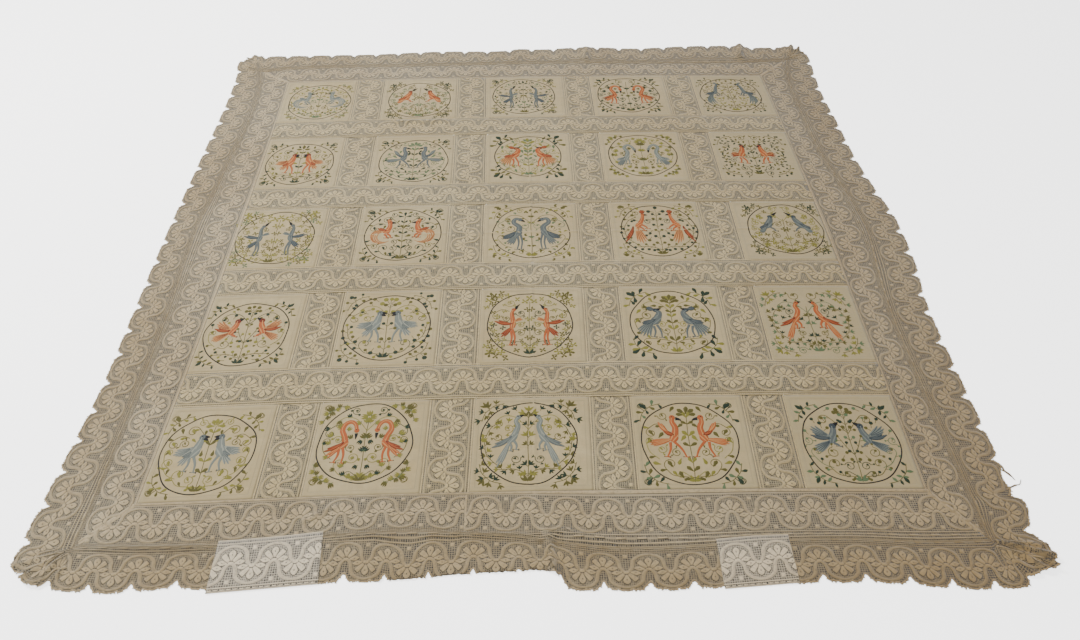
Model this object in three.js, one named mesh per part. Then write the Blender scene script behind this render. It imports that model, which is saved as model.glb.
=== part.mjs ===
// Lace bedspread laid flat: twenty-five embroidered linen squares set in a grid of lace
// insertion, framed by a mitred lace border and a scalloped lace edging with two mends.
// Sizes in millimetres, +Z up, the underside on z = 0, the front edge towards -Y.

import * as THREE from "three";

// Driving sizes.
const CLOTH = 1.2; // thickness of the linen and of the lace
const SEAM_GAP = 0.3; // between pieces whipped together edge to edge
const LAY_GAP = 0.35; // between a piece and the one that lies on it
const SCALLOP_PITCH = 90.2; // one scallop of the edging
const SCALLOP_DEPTH = 20; // from a scallop's tip to the notch beside it
const MEND_OVERLAP = 12; // how far a mend is sewn over the border
const MEND_REACH = 5; // how far a mend stands out past the line of the tips
const CROSSING_RAMP = 9; // where a strip climbs over the strip below it
const LINEN_STATION = 145; // furthest apart that a square's own stations are
const STRIP_STATION = 150; // the same along a strip

// Linen widths from left to right, each with the lace on its right-hand side.
const COLUMNS = [
  { linen: 258, lace: 111 },
  { linen: 268, lace: 114 },
  { linen: 284, lace: 106 },
  { linen: 274, lace: 109 },
  { linen: 266, lace: 0 },
];

// Linen depths from back to front, each with the lace on its front side.
const ROWS = [
  { linen: 268, lace: 106 },
  { linen: 274, lace: 110 },
  { linen: 268, lace: 110 },
  { linen: 274, lace: 114 },
  { linen: 266, lace: 0 },
];

// How far the grid is pulled out of true: rows bow forward at their ends, columns sway.
const ROW_BOW = { middle: 4, ends: -13 };
const COLUMN_SWAY = { middle: 8, ends: -12, lean: -3 };

// The frame's two outer lines on each side. "at" runs anticlockwise seen from above, as a
// distance from the middle of the side; "out" is the distance from the bedspread's middle.
const SIDES = {
  front: {
    along: [1, 0],
    out: [0, -1],
    notch: 147,
    seam: [
      { at: -1002, out: 1012 },
      { at: -700, out: 1012 },
      { at: -445, out: 997 },
      { at: -289, out: 990 },
      { at: -3, out: 1000 },
      { at: 90, out: 1014 },
      { at: 186, out: 1026 },
      { at: 374, out: 1022 },
      { at: 700, out: 1029 },
      { at: 992, out: 1037 },
    ],
    edge: [
      { at: -1088, out: 1084 },
      { at: -1060, out: 1100 },
      { at: -960, out: 1115 },
      { at: -880, out: 1120 },
      { at: -760, out: 1112 },
      { at: -640, out: 1118 },
      { at: -470, out: 1108 },
      { at: -280, out: 1103 },
      { at: -160, out: 1094 },
      { at: -40, out: 1090 },
      { at: 38, out: 1092 },
      { at: 66, out: 1126 },
      { at: 110, out: 1134 },
      { at: 300, out: 1137 },
      { at: 470, out: 1130 },
      { at: 640, out: 1128 },
      { at: 740, out: 1131 },
      { at: 920, out: 1148 },
      { at: 1045, out: 1142 },
      { at: 1066, out: 1118 },
      { at: 1112, out: 1106 },
    ],
  },
  right: {
    along: [0, 1],
    out: [1, 0],
    notch: -834,
    seam: [
      { at: -1037, out: 992 },
      { at: -695, out: 1001 },
      { at: -158, out: 1009 },
      { at: 68, out: 1015 },
      { at: 993, out: 1012 },
    ],
    edge: [
      { at: -1106, out: 1112 },
      { at: -1056, out: 1110 },
      { at: -1020, out: 1096 },
      { at: -900, out: 1112 },
      { at: -780, out: 1097 },
      { at: -450, out: 1100 },
      { at: -300, out: 1107 },
      { at: -170, out: 1127 },
      { at: 42, out: 1134 },
      { at: 170, out: 1117 },
      { at: 350, out: 1100 },
      { at: 560, out: 1096 },
      { at: 760, out: 1090 },
      { at: 900, out: 1098 },
      { at: 1010, out: 1104 },
      { at: 1075, out: 1078 },
    ],
  },
  back: {
    along: [-1, 0],
    out: [0, 1],
    notch: 20,
    seam: [
      { at: -1012, out: 993 },
      { at: -440, out: 984 },
      { at: 413, out: 973 },
      { at: 1026, out: 966 },
    ],
    edge: [
      { at: -1078, out: 1075 },
      { at: -1040, out: 1092 },
      { at: -900, out: 1095 },
      { at: -840, out: 1110 },
      { at: -650, out: 1114 },
      { at: -430, out: 1102 },
      { at: -240, out: 1118 },
      { at: -60, out: 1105 },
      { at: 20, out: 1110 },
      { at: 110, out: 1096 },
      { at: 340, out: 1099 },
      { at: 600, out: 1085 },
      { at: 850, out: 1082 },
      { at: 1063, out: 1076 },
      { at: 1098, out: 1048 },
    ],
  },
  left: {
    along: [0, -1],
    out: [-1, 0],
    notch: 904,
    seam: [
      { at: -966, out: 1026 },
      { at: -119, out: 1004 },
      { at: 311, out: 995 },
      { at: 649, out: 1004 },
      { at: 1012, out: 1002 },
    ],
    edge: [
      { at: -1048, out: 1098 },
      { at: -1008, out: 1124 },
      { at: -940, out: 1113 },
      { at: -760, out: 1105 },
      { at: -500, out: 1106 },
      { at: -50, out: 1108 },
      { at: 200, out: 1104 },
      { at: 550, out: 1096 },
      { at: 700, out: 1102 },
      { at: 860, out: 1111 },
      { at: 1050, out: 1116 },
      { at: 1084, out: 1088 },
    ],
  },
};

// Creases and folds that stand up off the surface: middle, bearing of the crest in degrees
// from +X, length and width of the ridge, and its height.
const FOLDS = [
  { name: "pressed across", x: 0, y: 2, bearing: 0, length: 1900, width: 26, height: 2 },
  { name: "pressed down", x: 6, y: -350, bearing: 90, length: 1300, width: 26, height: 2 },
  { name: "under square", x: -382, y: 606, bearing: 1, length: 224, width: 34, height: 7 },
  { name: "border dart", x: -480, y: -944, bearing: 31, length: 104, width: 26, height: 5 },
  { name: "edging hitch", x: 36, y: -1046, bearing: -80, length: 130, width: 34, height: 9 },
  { name: "band ripple", x: 100, y: -1008, bearing: -16, length: 190, width: 30, height: 5 },
  { name: "back peak", x: 843, y: 1060, bearing: 82, length: 130, width: 44, height: 13 },
  { name: "back tuck", x: 236, y: 1064, bearing: 88, length: 120, width: 40, height: 9 },
];

// Pleats that take up the edging's fullness round the corners: the height of the crest at
// the outer edge and how far along each side the pleat reaches there.
const CORNER_PLEATS = {
  front_left: { height: 13, reach: 70 },
  front_right: { height: 20, reach: 78 },
  back_right: { height: 18, reach: 64 },
  back_left: { height: 15, reach: 70 },
};

// The two mends: their ends along the front and how far they stand out at each end.
const MENDS = [
  { name: "mend_left", start: -687, end: -462, outStart: 1119, outEnd: 1103, skewStart: 2, skewEnd: 9 },
  { name: "mend_right", start: 398, end: 557, outStart: 1131, outEnd: 1121, skewStart: 0, skewEnd: 0 },
];

// Finishes.
const COLOURS = {
  linen: { colour: 0xa69a82, roughness: 0.9 },
  insertion: { colour: 0xa39883, roughness: 0.95 },
  border: { colour: 0xa39781, roughness: 0.95 },
  edging: { colour: 0xa09482, roughness: 0.95 },
  mend: { colour: 0xb7afa1, roughness: 0.95 },
};

// ---------------------------------------------------------------- small helpers

const clamp01 = (value) => Math.min(1, Math.max(0, value));
const mix = (from, to, part) => from + (to - from) * part;
const eased = (part) => {
  const t = clamp01(part);
  return t * t * (3 - 2 * t);
};

// A smooth line through a table's rows: the value of one column at a place along it.
function through(rows, column, at) {
  const last = rows.length - 1;
  let i = 0;
  while (i < last - 1 && at > rows[i + 1].at) {
    i += 1;
  }
  const slope = (k) => {
    const before = rows[Math.max(k - 1, 0)];
    const after = rows[Math.min(k + 1, last)];
    return (after[column] - before[column]) / (after.at - before.at);
  };
  const a = rows[i];
  const b = rows[i + 1];
  const span = b.at - a.at;
  const t = clamp01((at - a.at) / span);
  const t2 = t * t;
  const t3 = t2 * t;
  return (
    a[column] * (2 * t3 - 3 * t2 + 1) +
    slope(i) * span * (t3 - 2 * t2 + t) +
    b[column] * (3 * t2 - 2 * t3) +
    slope(i + 1) * span * (t3 - t2)
  );
}

// Values from a to b no further apart than step, with extra ones wherever a crease needs them.
function stations(a, b, step, extra = []) {
  const count = Math.max(1, Math.ceil((b - a) / step));
  const even = Array.from({ length: count + 1 }, (_, i) => mix(a, b, i / count));
  const wanted = extra.filter((value) => value > a + 1 && value < b - 1);
  const clear = step * 0.3;
  const kept = even.filter((value, i) => {
    const isEnd = i === 0 || i === count;
    return isEnd || wanted.every((other) => Math.abs(other - value) > clear);
  });
  return [...kept, ...wanted].sort((p, q) => p - q);
}

// Places across a crease where its ridge starts, crests and ends.
const creaseLines = (middle, width) => [middle - width / 2, middle, middle + width / 2];

// ---------------------------------------------------------------- the grid as cut

// Edges of the linen, as start and end pairs, centred on the bedspread's middle.
function bands(table, direction) {
  const total = table.reduce((sum, row) => sum + row.linen + row.lace, 0);
  let edge = (-direction * total) / 2;
  return table.map((row) => {
    const start = edge;
    const end = start + direction * row.linen;
    edge = end + direction * row.lace;
    return { start, end, next: edge };
  });
}

const columns = bands(COLUMNS, 1);
const rows = bands(ROWS, -1);
const HALF = columns[columns.length - 1].end;

// ---------------------------------------------------------------- the grid as it lies

function foldHeight(x, y) {
  let height = 0;
  for (const fold of FOLDS) {
    const turn = THREE.MathUtils.degToRad(fold.bearing);
    const dx = x - fold.x;
    const dy = y - fold.y;
    const along = Math.abs(dx * Math.cos(turn) + dy * Math.sin(turn)) / (fold.length / 2);
    const across = Math.abs(dy * Math.cos(turn) - dx * Math.sin(turn)) / (fold.width / 2);
    height += fold.height * eased(1 - across) * eased((1 - along) * 3);
  }
  return height;
}

// Where a point of the flat grid comes to lie, with the height of its underside.
function laid(x, y) {
  const u = x / HALF;
  const v = y / HALF;
  const shiftX = COLUMN_SWAY.middle + COLUMN_SWAY.ends * v * v + COLUMN_SWAY.lean * v;
  const shiftY = ROW_BOW.middle + ROW_BOW.ends * u * u;
  const point = { x: x + shiftX, y: y + shiftY };
  return { ...point, z: foldHeight(point.x, point.y) };
}

// ---------------------------------------------------------------- a sheet of cloth

// A closed sheet over a grid of stations; place(u, v) gives x, y and the underside's z.
function sheet(name, finish, us, vs, place) {
  const points = [];
  const wide = vs.length;
  for (const u of us) {
    for (const v of vs) {
      points.push(place(u, v));
    }
  }
  const first = points[0];
  const alongU = points[wide];
  const alongV = points[1];
  const turn = (alongU.x - first.x) * (alongV.y - first.y) - (alongU.y - first.y) * (alongV.x - first.x);
  const positions = [];
  for (const lift of [CLOTH, 0]) {
    for (const point of points) {
      positions.push(point.x, point.y, point.z + lift);
    }
  }
  const under = points.length;
  const index = [];
  const facing = (a, b, c) => (turn > 0 ? index.push(a, b, c) : index.push(a, c, b));
  const quad = (a, b, c, d) => {
    facing(a, b, c);
    facing(a, c, d);
  };
  const at = (i, j) => i * wide + j;
  for (let i = 0; i < us.length - 1; i += 1) {
    for (let j = 0; j < wide - 1; j += 1) {
      const corners = [at(i, j), at(i + 1, j), at(i + 1, j + 1), at(i, j + 1)];
      quad(...corners);
      quad(...corners.reverse().map((corner) => corner + under));
    }
  }
  const wall = (a, b) => quad(a + under, b + under, b, a);
  const lastU = us.length - 1;
  for (let i = 0; i < lastU; i += 1) {
    wall(at(i, 0), at(i + 1, 0));
    wall(at(i + 1, wide - 1), at(i, wide - 1));
  }
  for (let j = 0; j < wide - 1; j += 1) {
    wall(at(lastU, j), at(lastU, j + 1));
    wall(at(0, j + 1), at(0, j));
  }
  const geometry = new THREE.BufferGeometry();
  geometry.setAttribute("position", new THREE.Float32BufferAttribute(positions, 3));
  geometry.setIndex(index);
  geometry.computeVertexNormals();
  const { colour, roughness } = COLOURS[finish];
  const material = new THREE.MeshStandardMaterial({ color: colour, roughness, metalness: 0 });
  const mesh = new THREE.Mesh(geometry, material);
  mesh.name = name;
  return mesh;
}

// Lines of the grid where the two pressed creases and the wrinkle need extra stations.
const CREASES_X = creaseLines(FOLDS[1].x - COLUMN_SWAY.middle, FOLDS[1].width);
const CREASES_Y = [
  ...creaseLines(FOLDS[0].y - ROW_BOW.middle, FOLDS[0].width),
  ...creaseLines(FOLDS[2].y - ROW_BOW.middle + 2, FOLDS[2].width),
];

// ---------------------------------------------------------------- linen squares

function linenSquare(row, column) {
  const { start: left, end: right } = columns[column];
  const { start: back, end: front } = rows[row];
  const us = stations(left, right, LINEN_STATION, CREASES_X);
  const vs = stations(front, back, LINEN_STATION, CREASES_Y);
  return sheet(`linen_${row + 1}_${column + 1}`, "linen", us, vs, laid);
}

// ---------------------------------------------------------------- insertion strips

// Strips from front to back lie on the surface.
function uprightStrip(index) {
  const inner = SEAM_GAP;
  const left = columns[index].end + inner;
  const right = columns[index].next - inner;
  const vs = stations(-HALF, HALF, STRIP_STATION, CREASES_Y);
  return sheet(`insertion_upright_${index + 1}`, "insertion", [left, (left + right) / 2, right], vs, laid);
}

// How far a cross strip is lifted at x where it passes over the upright strips.
function crossingLift(x) {
  const over = columns.slice(0, -1).map(({ end, next }) => {
    const outside = Math.max(end - x, x - next);
    return eased(1 - (outside - 1) / CROSSING_RAMP);
  });
  return Math.max(...over) * (CLOTH + LAY_GAP);
}

// Strips from side to side climb over each upright strip.
function crossStrip(index) {
  const back = rows[index].end - SEAM_GAP;
  const front = rows[index].next + SEAM_GAP;
  const steps = columns.slice(0, -1).flatMap(({ end, next }) => {
    const foot = CROSSING_RAMP + 1;
    return [end - foot, end - 1, next + 1, next + foot];
  });
  const us = stations(-HALF, HALF, STRIP_STATION, [...steps, ...CREASES_X]);
  const place = (x, y) => {
    const point = laid(x, y);
    return { ...point, z: point.z + crossingLift(x) };
  };
  const middle = (back + front) / 2;
  const wrinkled = index === 0;
  const vs = wrinkled ? stations(front, back, 60, CREASES_Y) : [front, middle, back];
  return sheet(`insertion_cross_${index + 1}`, "insertion", us, vs, place);
}

// ---------------------------------------------------------------- the frame

const SIDE_NAMES = Object.keys(SIDES);

// A point of a side from its distance along and out.
function onSide(side, at, out) {
  return {
    x: side.along[0] * at + side.out[0] * out,
    y: side.along[1] * at + side.out[1] * out,
  };
}

// The two ends of one of a side's lines.
const ends = (line) => [line[0].at, line[line.length - 1].at];

// The border's inner line, the seam, and the edging's outer line, for part 0 to 1 of a side.
function innerPoint(side, part, back = 0) {
  const reach = HALF + back;
  const flat = onSide(side, mix(-reach, reach, part), reach);
  return laid(flat.x, flat.y);
}

function linePoint(side, line, part, inset = 0) {
  const [from, to] = ends(side[line]);
  const at = mix(from, to, part);
  return onSide(side, at, through(side[line], "out", at) + inset);
}

// Stations shared by the border and the edging, so that their common seam is one line.
const SEAM_PARTS = stations(0, 1, 1 / 16);
const DART_PARTS = [0.19, 0.22, 0.28, 0.31, 0.53, 0.59];

function seamParts(name) {
  const wanted = name === "front" ? DART_PARTS : [];
  return [...SEAM_PARTS, ...wanted].sort((a, b) => a - b);
}

// A point of the seam, straight between its stations.
function seamPoint(name, part, inset) {
  const parts = seamParts(name);
  let i = 0;
  while (i < parts.length - 2 && part > parts[i + 1]) {
    i += 1;
  }
  const start = linePoint(SIDES[name], "seam", parts[i], inset);
  const end = linePoint(SIDES[name], "seam", parts[i + 1], inset);
  return between(start, end, (part - parts[i]) / (parts[i + 1] - parts[i]));
}

// Pieces that meet on a mitre stop short of it by half the seam gap.
function trimmed(point, side, part) {
  const trim = part === 0 ? 1 : part === 1 ? -1 : 0;
  const step = trim * SEAM_GAP;
  return { ...point, x: point.x + side.along[0] * step, y: point.y + side.along[1] * step };
}

const between = (a, b, part) => ({ x: mix(a.x, b.x, part), y: mix(a.y, b.y, part) });

// One mitred length of the inner border, from the linen's line to the seam.
function borderLength(name) {
  const side = SIDES[name];
  const place = (part, v) => {
    const inner = innerPoint(side, part, SEAM_GAP);
    const seam = seamPoint(name, part, -SEAM_GAP / 2);
    const point = trimmed(between(inner, seam, v), side, part);
    return { ...point, z: foldHeight(point.x, point.y) };
  };
  const vs = name === "front" ? [0, 0.4, 0.8, 1] : [0, 0.5, 1];
  return sheet(`border_${name}`, "border", seamParts(name), vs, place);
}

// How deep the outline dips between scallops at a distance along a side.
function scallopDip(side, at) {
  const [from, to] = ends(side.edge);
  const turns = (at - side.notch) / SCALLOP_PITCH;
  const fromTip = Math.abs(2 * (turns - Math.floor(turns)) - 1);
  const fromCorner = Math.min(at - from, to - at);
  return SCALLOP_DEPTH * fromTip ** 3 * eased(fromCorner / SCALLOP_DEPTH);
}

// The pleat's lift at part 0 to 1 along a side, v being 0 at the seam and 1 at the edge.
function pleatLift(name, part, v, length) {
  const order = SIDE_NAMES.indexOf(name);
  const corners = ["front_left", "front_right", "back_right", "back_left"];
  const here = corners[order];
  const next = corners[(order + 1) % corners.length];
  const lift = (corner, distance) => {
    const { height, reach } = CORNER_PLEATS[corner];
    return height * v * eased(1 - distance / reach);
  };
  return lift(here, part * length) + lift(next, (1 - part) * length);
}

// One length of the scalloped edging, from the seam to the outer edge.
function edgingLength(name) {
  const side = SIDES[name];
  const [from, to] = ends(side.edge);
  const length = to - from;
  const firstNotch = side.notch + Math.ceil((from - side.notch) / SCALLOP_PITCH) * SCALLOP_PITCH;
  const along = [];
  for (let notch = firstNotch; notch < to; notch += SCALLOP_PITCH) {
    for (const share of [-0.26, 0, 0.26, 0.5]) {
      along.push(notch + share * SCALLOP_PITCH);
    }
  }
  for (const { reach } of Object.values(CORNER_PLEATS)) {
    along.push(from + reach / 3, to - reach / 3);
  }
  const shared = seamParts(name).map((part) => from + part * length);
  const clear = (at) => shared.every((other) => Math.abs(other - at) > 6);
  const all = [...shared, ...along.filter((at) => at > from && at < to && clear(at))];
  const us = all.sort((a, b) => a - b).map((at) => (at - from) / length);
  const place = (part, v) => {
    const seam = seamPoint(name, part, SEAM_GAP / 2);
    const at = from + part * length;
    const edge = onSide(side, at, through(side.edge, "out", at) - scallopDip(side, at));
    const point = trimmed(between(seam, edge, v), side, part);
    return { ...point, z: foldHeight(point.x, point.y) + pleatLift(name, part, v, length) };
  };
  return sheet(`edging_${name}`, "edging", us, [0, 0.45, 1], place);
}

// ---------------------------------------------------------------- mends

// A straight length of newer lace sewn on over the edging and the border's outer lines.
function mend(piece) {
  const side = SIDES.front;
  const us = stations(0, 1, 0.34);
  const place = (part, v) => {
    const skew = mix(piece.skewStart, piece.skewEnd, part) * v;
    const at = mix(piece.start, piece.end, part) + skew;
    const inner = onSide(side, at, through(side.seam, "out", at) - MEND_OVERLAP);
    const outer = onSide(side, at, mix(piece.outStart, piece.outEnd, part) + MEND_REACH);
    return { ...between(inner, outer, v), z: CLOTH + LAY_GAP };
  };
  return sheet(piece.name, "mend", us, [0, 0.5, 1], place);
}

// ---------------------------------------------------------------- the bedspread

const bedspread = new THREE.Group();
for (const row of ROWS.keys()) {
  for (const column of COLUMNS.keys()) {
    bedspread.add(linenSquare(row, column));
  }
}
for (let index = 0; index < COLUMNS.length - 1; index += 1) {
  bedspread.add(uprightStrip(index), crossStrip(index));
}
for (const name of SIDE_NAMES) {
  bedspread.add(borderLength(name), edgingLength(name));
}
for (const piece of MENDS) {
  bedspread.add(mend(piece));
}

// The origin is under the middle of the whole outline.
const middle = new THREE.Box3().setFromObject(bedspread).getCenter(new THREE.Vector3());
bedspread.position.set(-middle.x, -middle.y, 0);

const group = new THREE.Group();
group.add(bedspread);

export default group;
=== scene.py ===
"""A lace bedspread laid flat: embroidered linen squares, lace insertion, border and edging.

Plan sizes are in millimetres, as a maker would note them, and every mesh is made in metres.
"""
import math

import bpy
import numpy as np
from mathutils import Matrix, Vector


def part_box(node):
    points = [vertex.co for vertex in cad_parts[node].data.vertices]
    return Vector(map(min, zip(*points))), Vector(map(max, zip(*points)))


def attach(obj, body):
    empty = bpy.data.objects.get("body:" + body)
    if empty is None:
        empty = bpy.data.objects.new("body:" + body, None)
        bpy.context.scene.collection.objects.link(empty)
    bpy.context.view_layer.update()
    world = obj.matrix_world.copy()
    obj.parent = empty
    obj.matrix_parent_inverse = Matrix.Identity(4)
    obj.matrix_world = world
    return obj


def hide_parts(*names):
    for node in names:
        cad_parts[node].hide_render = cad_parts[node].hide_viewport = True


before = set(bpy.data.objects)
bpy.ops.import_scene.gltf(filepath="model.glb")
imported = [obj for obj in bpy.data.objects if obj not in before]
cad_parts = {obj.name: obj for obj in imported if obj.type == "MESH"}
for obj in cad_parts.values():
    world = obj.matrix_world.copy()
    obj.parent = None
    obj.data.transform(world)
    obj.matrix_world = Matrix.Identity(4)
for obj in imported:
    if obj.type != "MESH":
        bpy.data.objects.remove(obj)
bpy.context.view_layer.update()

bl_info = {
    "name": "Lace bedspread",
    "version": (1, 0, 0),
    "blender": (4, 5, 0),
    "location": "View3D > Sidebar > Bedspread",
    "description": "Builds a lace and linen bedspread around its packed frame",
    "category": "Object",
}

MM = 0.001

# ------------------------------------------------------------------ the plan, in millimetres

# Linen widths from left to right and depths from back to front, each with the lace after it.
COLUMNS = [(258, 111), (268, 114), (284, 106), (274, 109), (266, 0)]
ROWS = [(268, 106), (274, 110), (268, 110), (274, 114), (266, 0)]

# How far the grid is pulled out of true, and how far forward it has settled.
ROW_BOW = {"middle": 4, "ends": -13}
SETTLED = -3.5
COLUMN_SWAY = {"middle": 8, "ends": -12, "lean": -3}

# The frame's two outer lines on each side: distance along the side, distance out.
SIDES = {
    "front": {
        "along": (1, 0),
        "out": (0, -1),
        "notch": 147,
        "seam": [(-1002, 1012), (-850, 1019), (-700, 1017), (-560, 1008), (-445, 997),
                 (-289, 990), (-130, 1000), (-3, 1011), (90, 1027), (186, 1039),
                 (374, 1036), (500, 1028), (700, 1028), (850, 1038), (992, 1037)],
        "edge": [(-1088, 1084), (-1060, 1100), (-960, 1115), (-880, 1120), (-760, 1112),
                 (-640, 1118), (-470, 1108), (-280, 1103), (-160, 1094), (-40, 1090),
                 (38, 1092), (66, 1126), (110, 1134), (300, 1137), (470, 1130),
                 (640, 1128), (740, 1131), (920, 1148), (1045, 1142), (1066, 1118),
                 (1112, 1106)],
    },
    "right": {
        "along": (0, 1),
        "out": (1, 0),
        "notch": -834,
        "seam": [(-1037, 992), (-880, 994), (-695, 991), (-400, 991), (-250, 1000),
                 (-158, 1010), (-20, 1028), (68, 1024), (200, 1012), (330, 995),
                 (430, 986), (700, 983), (860, 988), (993, 1012)],
        "edge": [(-1106, 1112), (-1056, 1110), (-1020, 1096), (-945, 1110), (-908, 1090),
                 (-878, 1085), (-848, 1096), (-780, 1097), (-450, 1100), (-300, 1107),
                 (-170, 1127), (42, 1134), (170, 1117), (350, 1100), (560, 1096),
                 (760, 1090), (900, 1098), (1010, 1104), (1075, 1078)],
    },
    "back": {
        "along": (-1, 0),
        "out": (0, 1),
        "notch": 20,
        "seam": [(-1012, 993), (-850, 987), (-700, 987), (-440, 993), (-300, 997),
                 (-100, 1001), (100, 999), (413, 995), (700, 992), (900, 986), (1026, 966)],
        "edge": [(-1078, 1075), (-1040, 1092), (-900, 1095), (-840, 1110), (-650, 1114),
                 (-430, 1102), (-240, 1118), (-60, 1105), (20, 1110), (110, 1096),
                 (340, 1099), (600, 1085), (850, 1082), (1063, 1076), (1098, 1048)],
    },
    "left": {
        "along": (0, -1),
        "out": (-1, 0),
        "notch": 904,
        "seam": [(-966, 1026), (-850, 1004), (-700, 995), (-550, 997), (-400, 1005),
                 (-200, 1010), (-60, 1019), (120, 1013), (311, 1002), (649, 999),
                 (850, 999), (1012, 1002)],
        "edge": [(-1048, 1098), (-1008, 1124), (-940, 1113), (-760, 1105), (-500, 1106),
                 (-50, 1108), (200, 1104), (550, 1096), (700, 1102), (860, 1111),
                 (1050, 1116), (1084, 1088)],
    },
}

# Creases and folds: x, y, bearing of the crest, length, width, height.
FOLDS = [
    (0, 2, 0, 1900, 13, 1.6),
    (6, -250, 90, 1500, 13, 1.6),
    (-382, 606, 1, 224, 34, 7),
    (-480, -944, 31, 104, 26, 5),
    (36, -1046, -80, 130, 34, 9),
    (100, -1008, -16, 190, 30, 5),
    (843, 1060, 82, 130, 44, 13),
    (236, 1064, 88, 120, 40, 9),
    (-215, -1001, -1, 500, 24, 6),
    (200, -1016, -2, 280, 24, 5),
    (-842, -1019, -0.5, 320, 21, 8),
    (52, -1003, 20, 60, 14, 6),
    (41, -1082, -70, 46, 12, 6),
    (1052, -1060, -24, 120, 13, 8),
    (1058, -1082, -24, 110, 13, 6),
    (-1036, -1078, 66, 90, 12, 7),
    (-1018, -1086, 60, 80, 11, 5),
]

# Pleats round the corners: height of the crest and how far it reaches along each side.
CORNER_PLEATS = [(13, 70), (20, 78), (18, 64), (15, 70)]

PLEAT_PITCH = 27

# Mends: name, start and end along the front, how far out at each end, skew at each end.
MENDS = [
    ("mend_left", -687, -462, 1119, 1103, 2, 9),
    ("mend_right", 398, 557, 1131, 1121, 0, 0),
]

SCALLOP_DEPTH = 21
MEND_OVERLAP = 12
CROSSING_RAMP = 9
CLOTH = 1.2
LAY_GAP = 0.35
MEND_LIFT = CLOTH + LAY_GAP

MEND_REACH = 5

# Lace drawing, in millimetres across a nominal strip.
REPEAT = 90.0
STRIP = 110.0
PATTERN_HALF = 42
BORDER_TOP, BORDER_FOOT = 52, -68
EDGING_TOP, EDGING_TIP = 64, -48

# How a drawing fits its real depth: the pattern is scaled within limits, and the plain rows
# beside it take up the rest.
PATTERN_SPAN = 96
PATTERN_SCALE = (0.75, 1.03)
BORDER_ROWS, EDGING_ROWS = 6, 8
BORDER_MIDDLE = 50
WIDE_BORDER, WIDE_SHARE = 98, 0.3


# ------------------------------------------------------------------ small helpers

def mix(start, end, part):
    return start + (end - start) * part


def eased(part):
    part = np.clip(part, 0.0, 1.0)
    return part * part * (3 - 2 * part)


def through(rows, at):
    """A smooth line through a table's rows, read at any places along it."""
    at = np.asarray(at, float)
    xs = np.array([row[0] for row in rows], float)
    ys = np.array([row[1] for row in rows], float)
    slope = np.array([(ys[min(k + 1, len(ys) - 1)] - ys[max(k - 1, 0)])
                      / (xs[min(k + 1, len(xs) - 1)] - xs[max(k - 1, 0)]) for k in range(len(xs))])
    i = np.clip(np.searchsorted(xs, at, side="right") - 1, 0, len(xs) - 2)
    span = xs[i + 1] - xs[i]
    t = np.clip((at - xs[i]) / span, 0, 1)
    return (ys[i] * (2 * t**3 - 3 * t**2 + 1) + slope[i] * span * (t**3 - 2 * t**2 + t)
            + ys[i + 1] * (3 * t**2 - 2 * t**3) + slope[i + 1] * span * (t**3 - t**2))


def bands(table, direction):
    """Start, end and next start of each linen square along one direction of the grid."""
    total = sum(linen + lace for linen, lace in table)
    edge = -direction * total / 2
    found = []
    for linen, lace in table:
        end = edge + direction * linen
        found.append((edge, end, end + direction * lace))
        edge = end + direction * lace
    return found


COLUMN_BANDS = bands(COLUMNS, 1)
ROW_BANDS = bands(ROWS, -1)
HALF = COLUMN_BANDS[-1][1]


def fold_height(x, y):
    """How far the folds lift the cloth off the surface."""
    height = np.zeros(np.broadcast(x, y).shape)
    for fold_x, fold_y, bearing, length, width, crest in FOLDS:
        turn = math.radians(bearing)
        dx, dy = x - fold_x, y - fold_y
        along = np.abs(dx * math.cos(turn) + dy * math.sin(turn)) / (length / 2)
        across = np.abs(dy * math.cos(turn) - dx * math.sin(turn)) / (width / 2)
        height = height + crest * eased(1 - across) * eased((1 - along) * 3)
    return height


def swayed(x, y):
    """Where a point of the flat grid comes to lie."""
    u, v = x / HALF, y / HALF
    across = COLUMN_SWAY["middle"] + COLUMN_SWAY["ends"] * v * v + COLUMN_SWAY["lean"] * v
    down = ROW_BOW["middle"] + ROW_BOW["ends"] * u * u
    return x + across, y + down + SETTLED


def frame_offset():
    """From the grid's middle to the frame's, found from the middle linen square."""
    low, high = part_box("linen_3_3")
    left, right, _ = COLUMN_BANDS[2]
    back, front, _ = ROW_BANDS[2]
    x, y = swayed(*np.meshgrid(np.linspace(left, right, 25), np.linspace(front, back, 25)))
    return ((low[0] + high[0]) / 2 / MM - (x.min() + x.max()) / 2,
            (low[1] + high[1]) / 2 / MM - (y.min() + y.max()) / 2 + SETTLED)


OFFSET = frame_offset()


def rumple(x, y):
    """The soft unevenness of cloth that has been folded away for years."""
    waves = [(310, 24, 0.3, 0.35), (190, -61, 1.7, 0.3), (131, 97, 4.1, 0.25), (83, 152, 2.2, 0.16)]
    height = 0.0
    for length, bearing, phase, size in waves:
        turn = math.radians(bearing)
        along = x * math.cos(turn) + y * math.sin(turn)
        across = y * math.cos(turn) - x * math.sin(turn)
        bend = 0.9 * np.sin(across / length * 2.3 + phase)
        height = height + size * (0.5 + 0.5 * np.sin(along / length * 2 * math.pi + phase + bend))
    return height


# ------------------------------------------------------------------ where each piece lies

def lie_flat(x, y, lift):
    """Places grid points, given flat x and y, as they lie: metres in the frame."""
    return laid(*swayed(x, y), lift)


def crossing_lift(x):
    """How far a cross strip is lifted where it passes over the upright strips."""
    lift = 0.0
    for _, end, after in COLUMN_BANDS[:-1]:
        outside = np.maximum(end - x, x - after)
        lift = np.maximum(lift, eased(1 - (outside - 1) / CROSSING_RAMP))
    return lift * (CLOTH + LAY_GAP)


def on_side(side, at, out):
    along, away = side["along"], side["out"]
    return along[0] * at + away[0] * out, along[1] * at + away[1] * out


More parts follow.
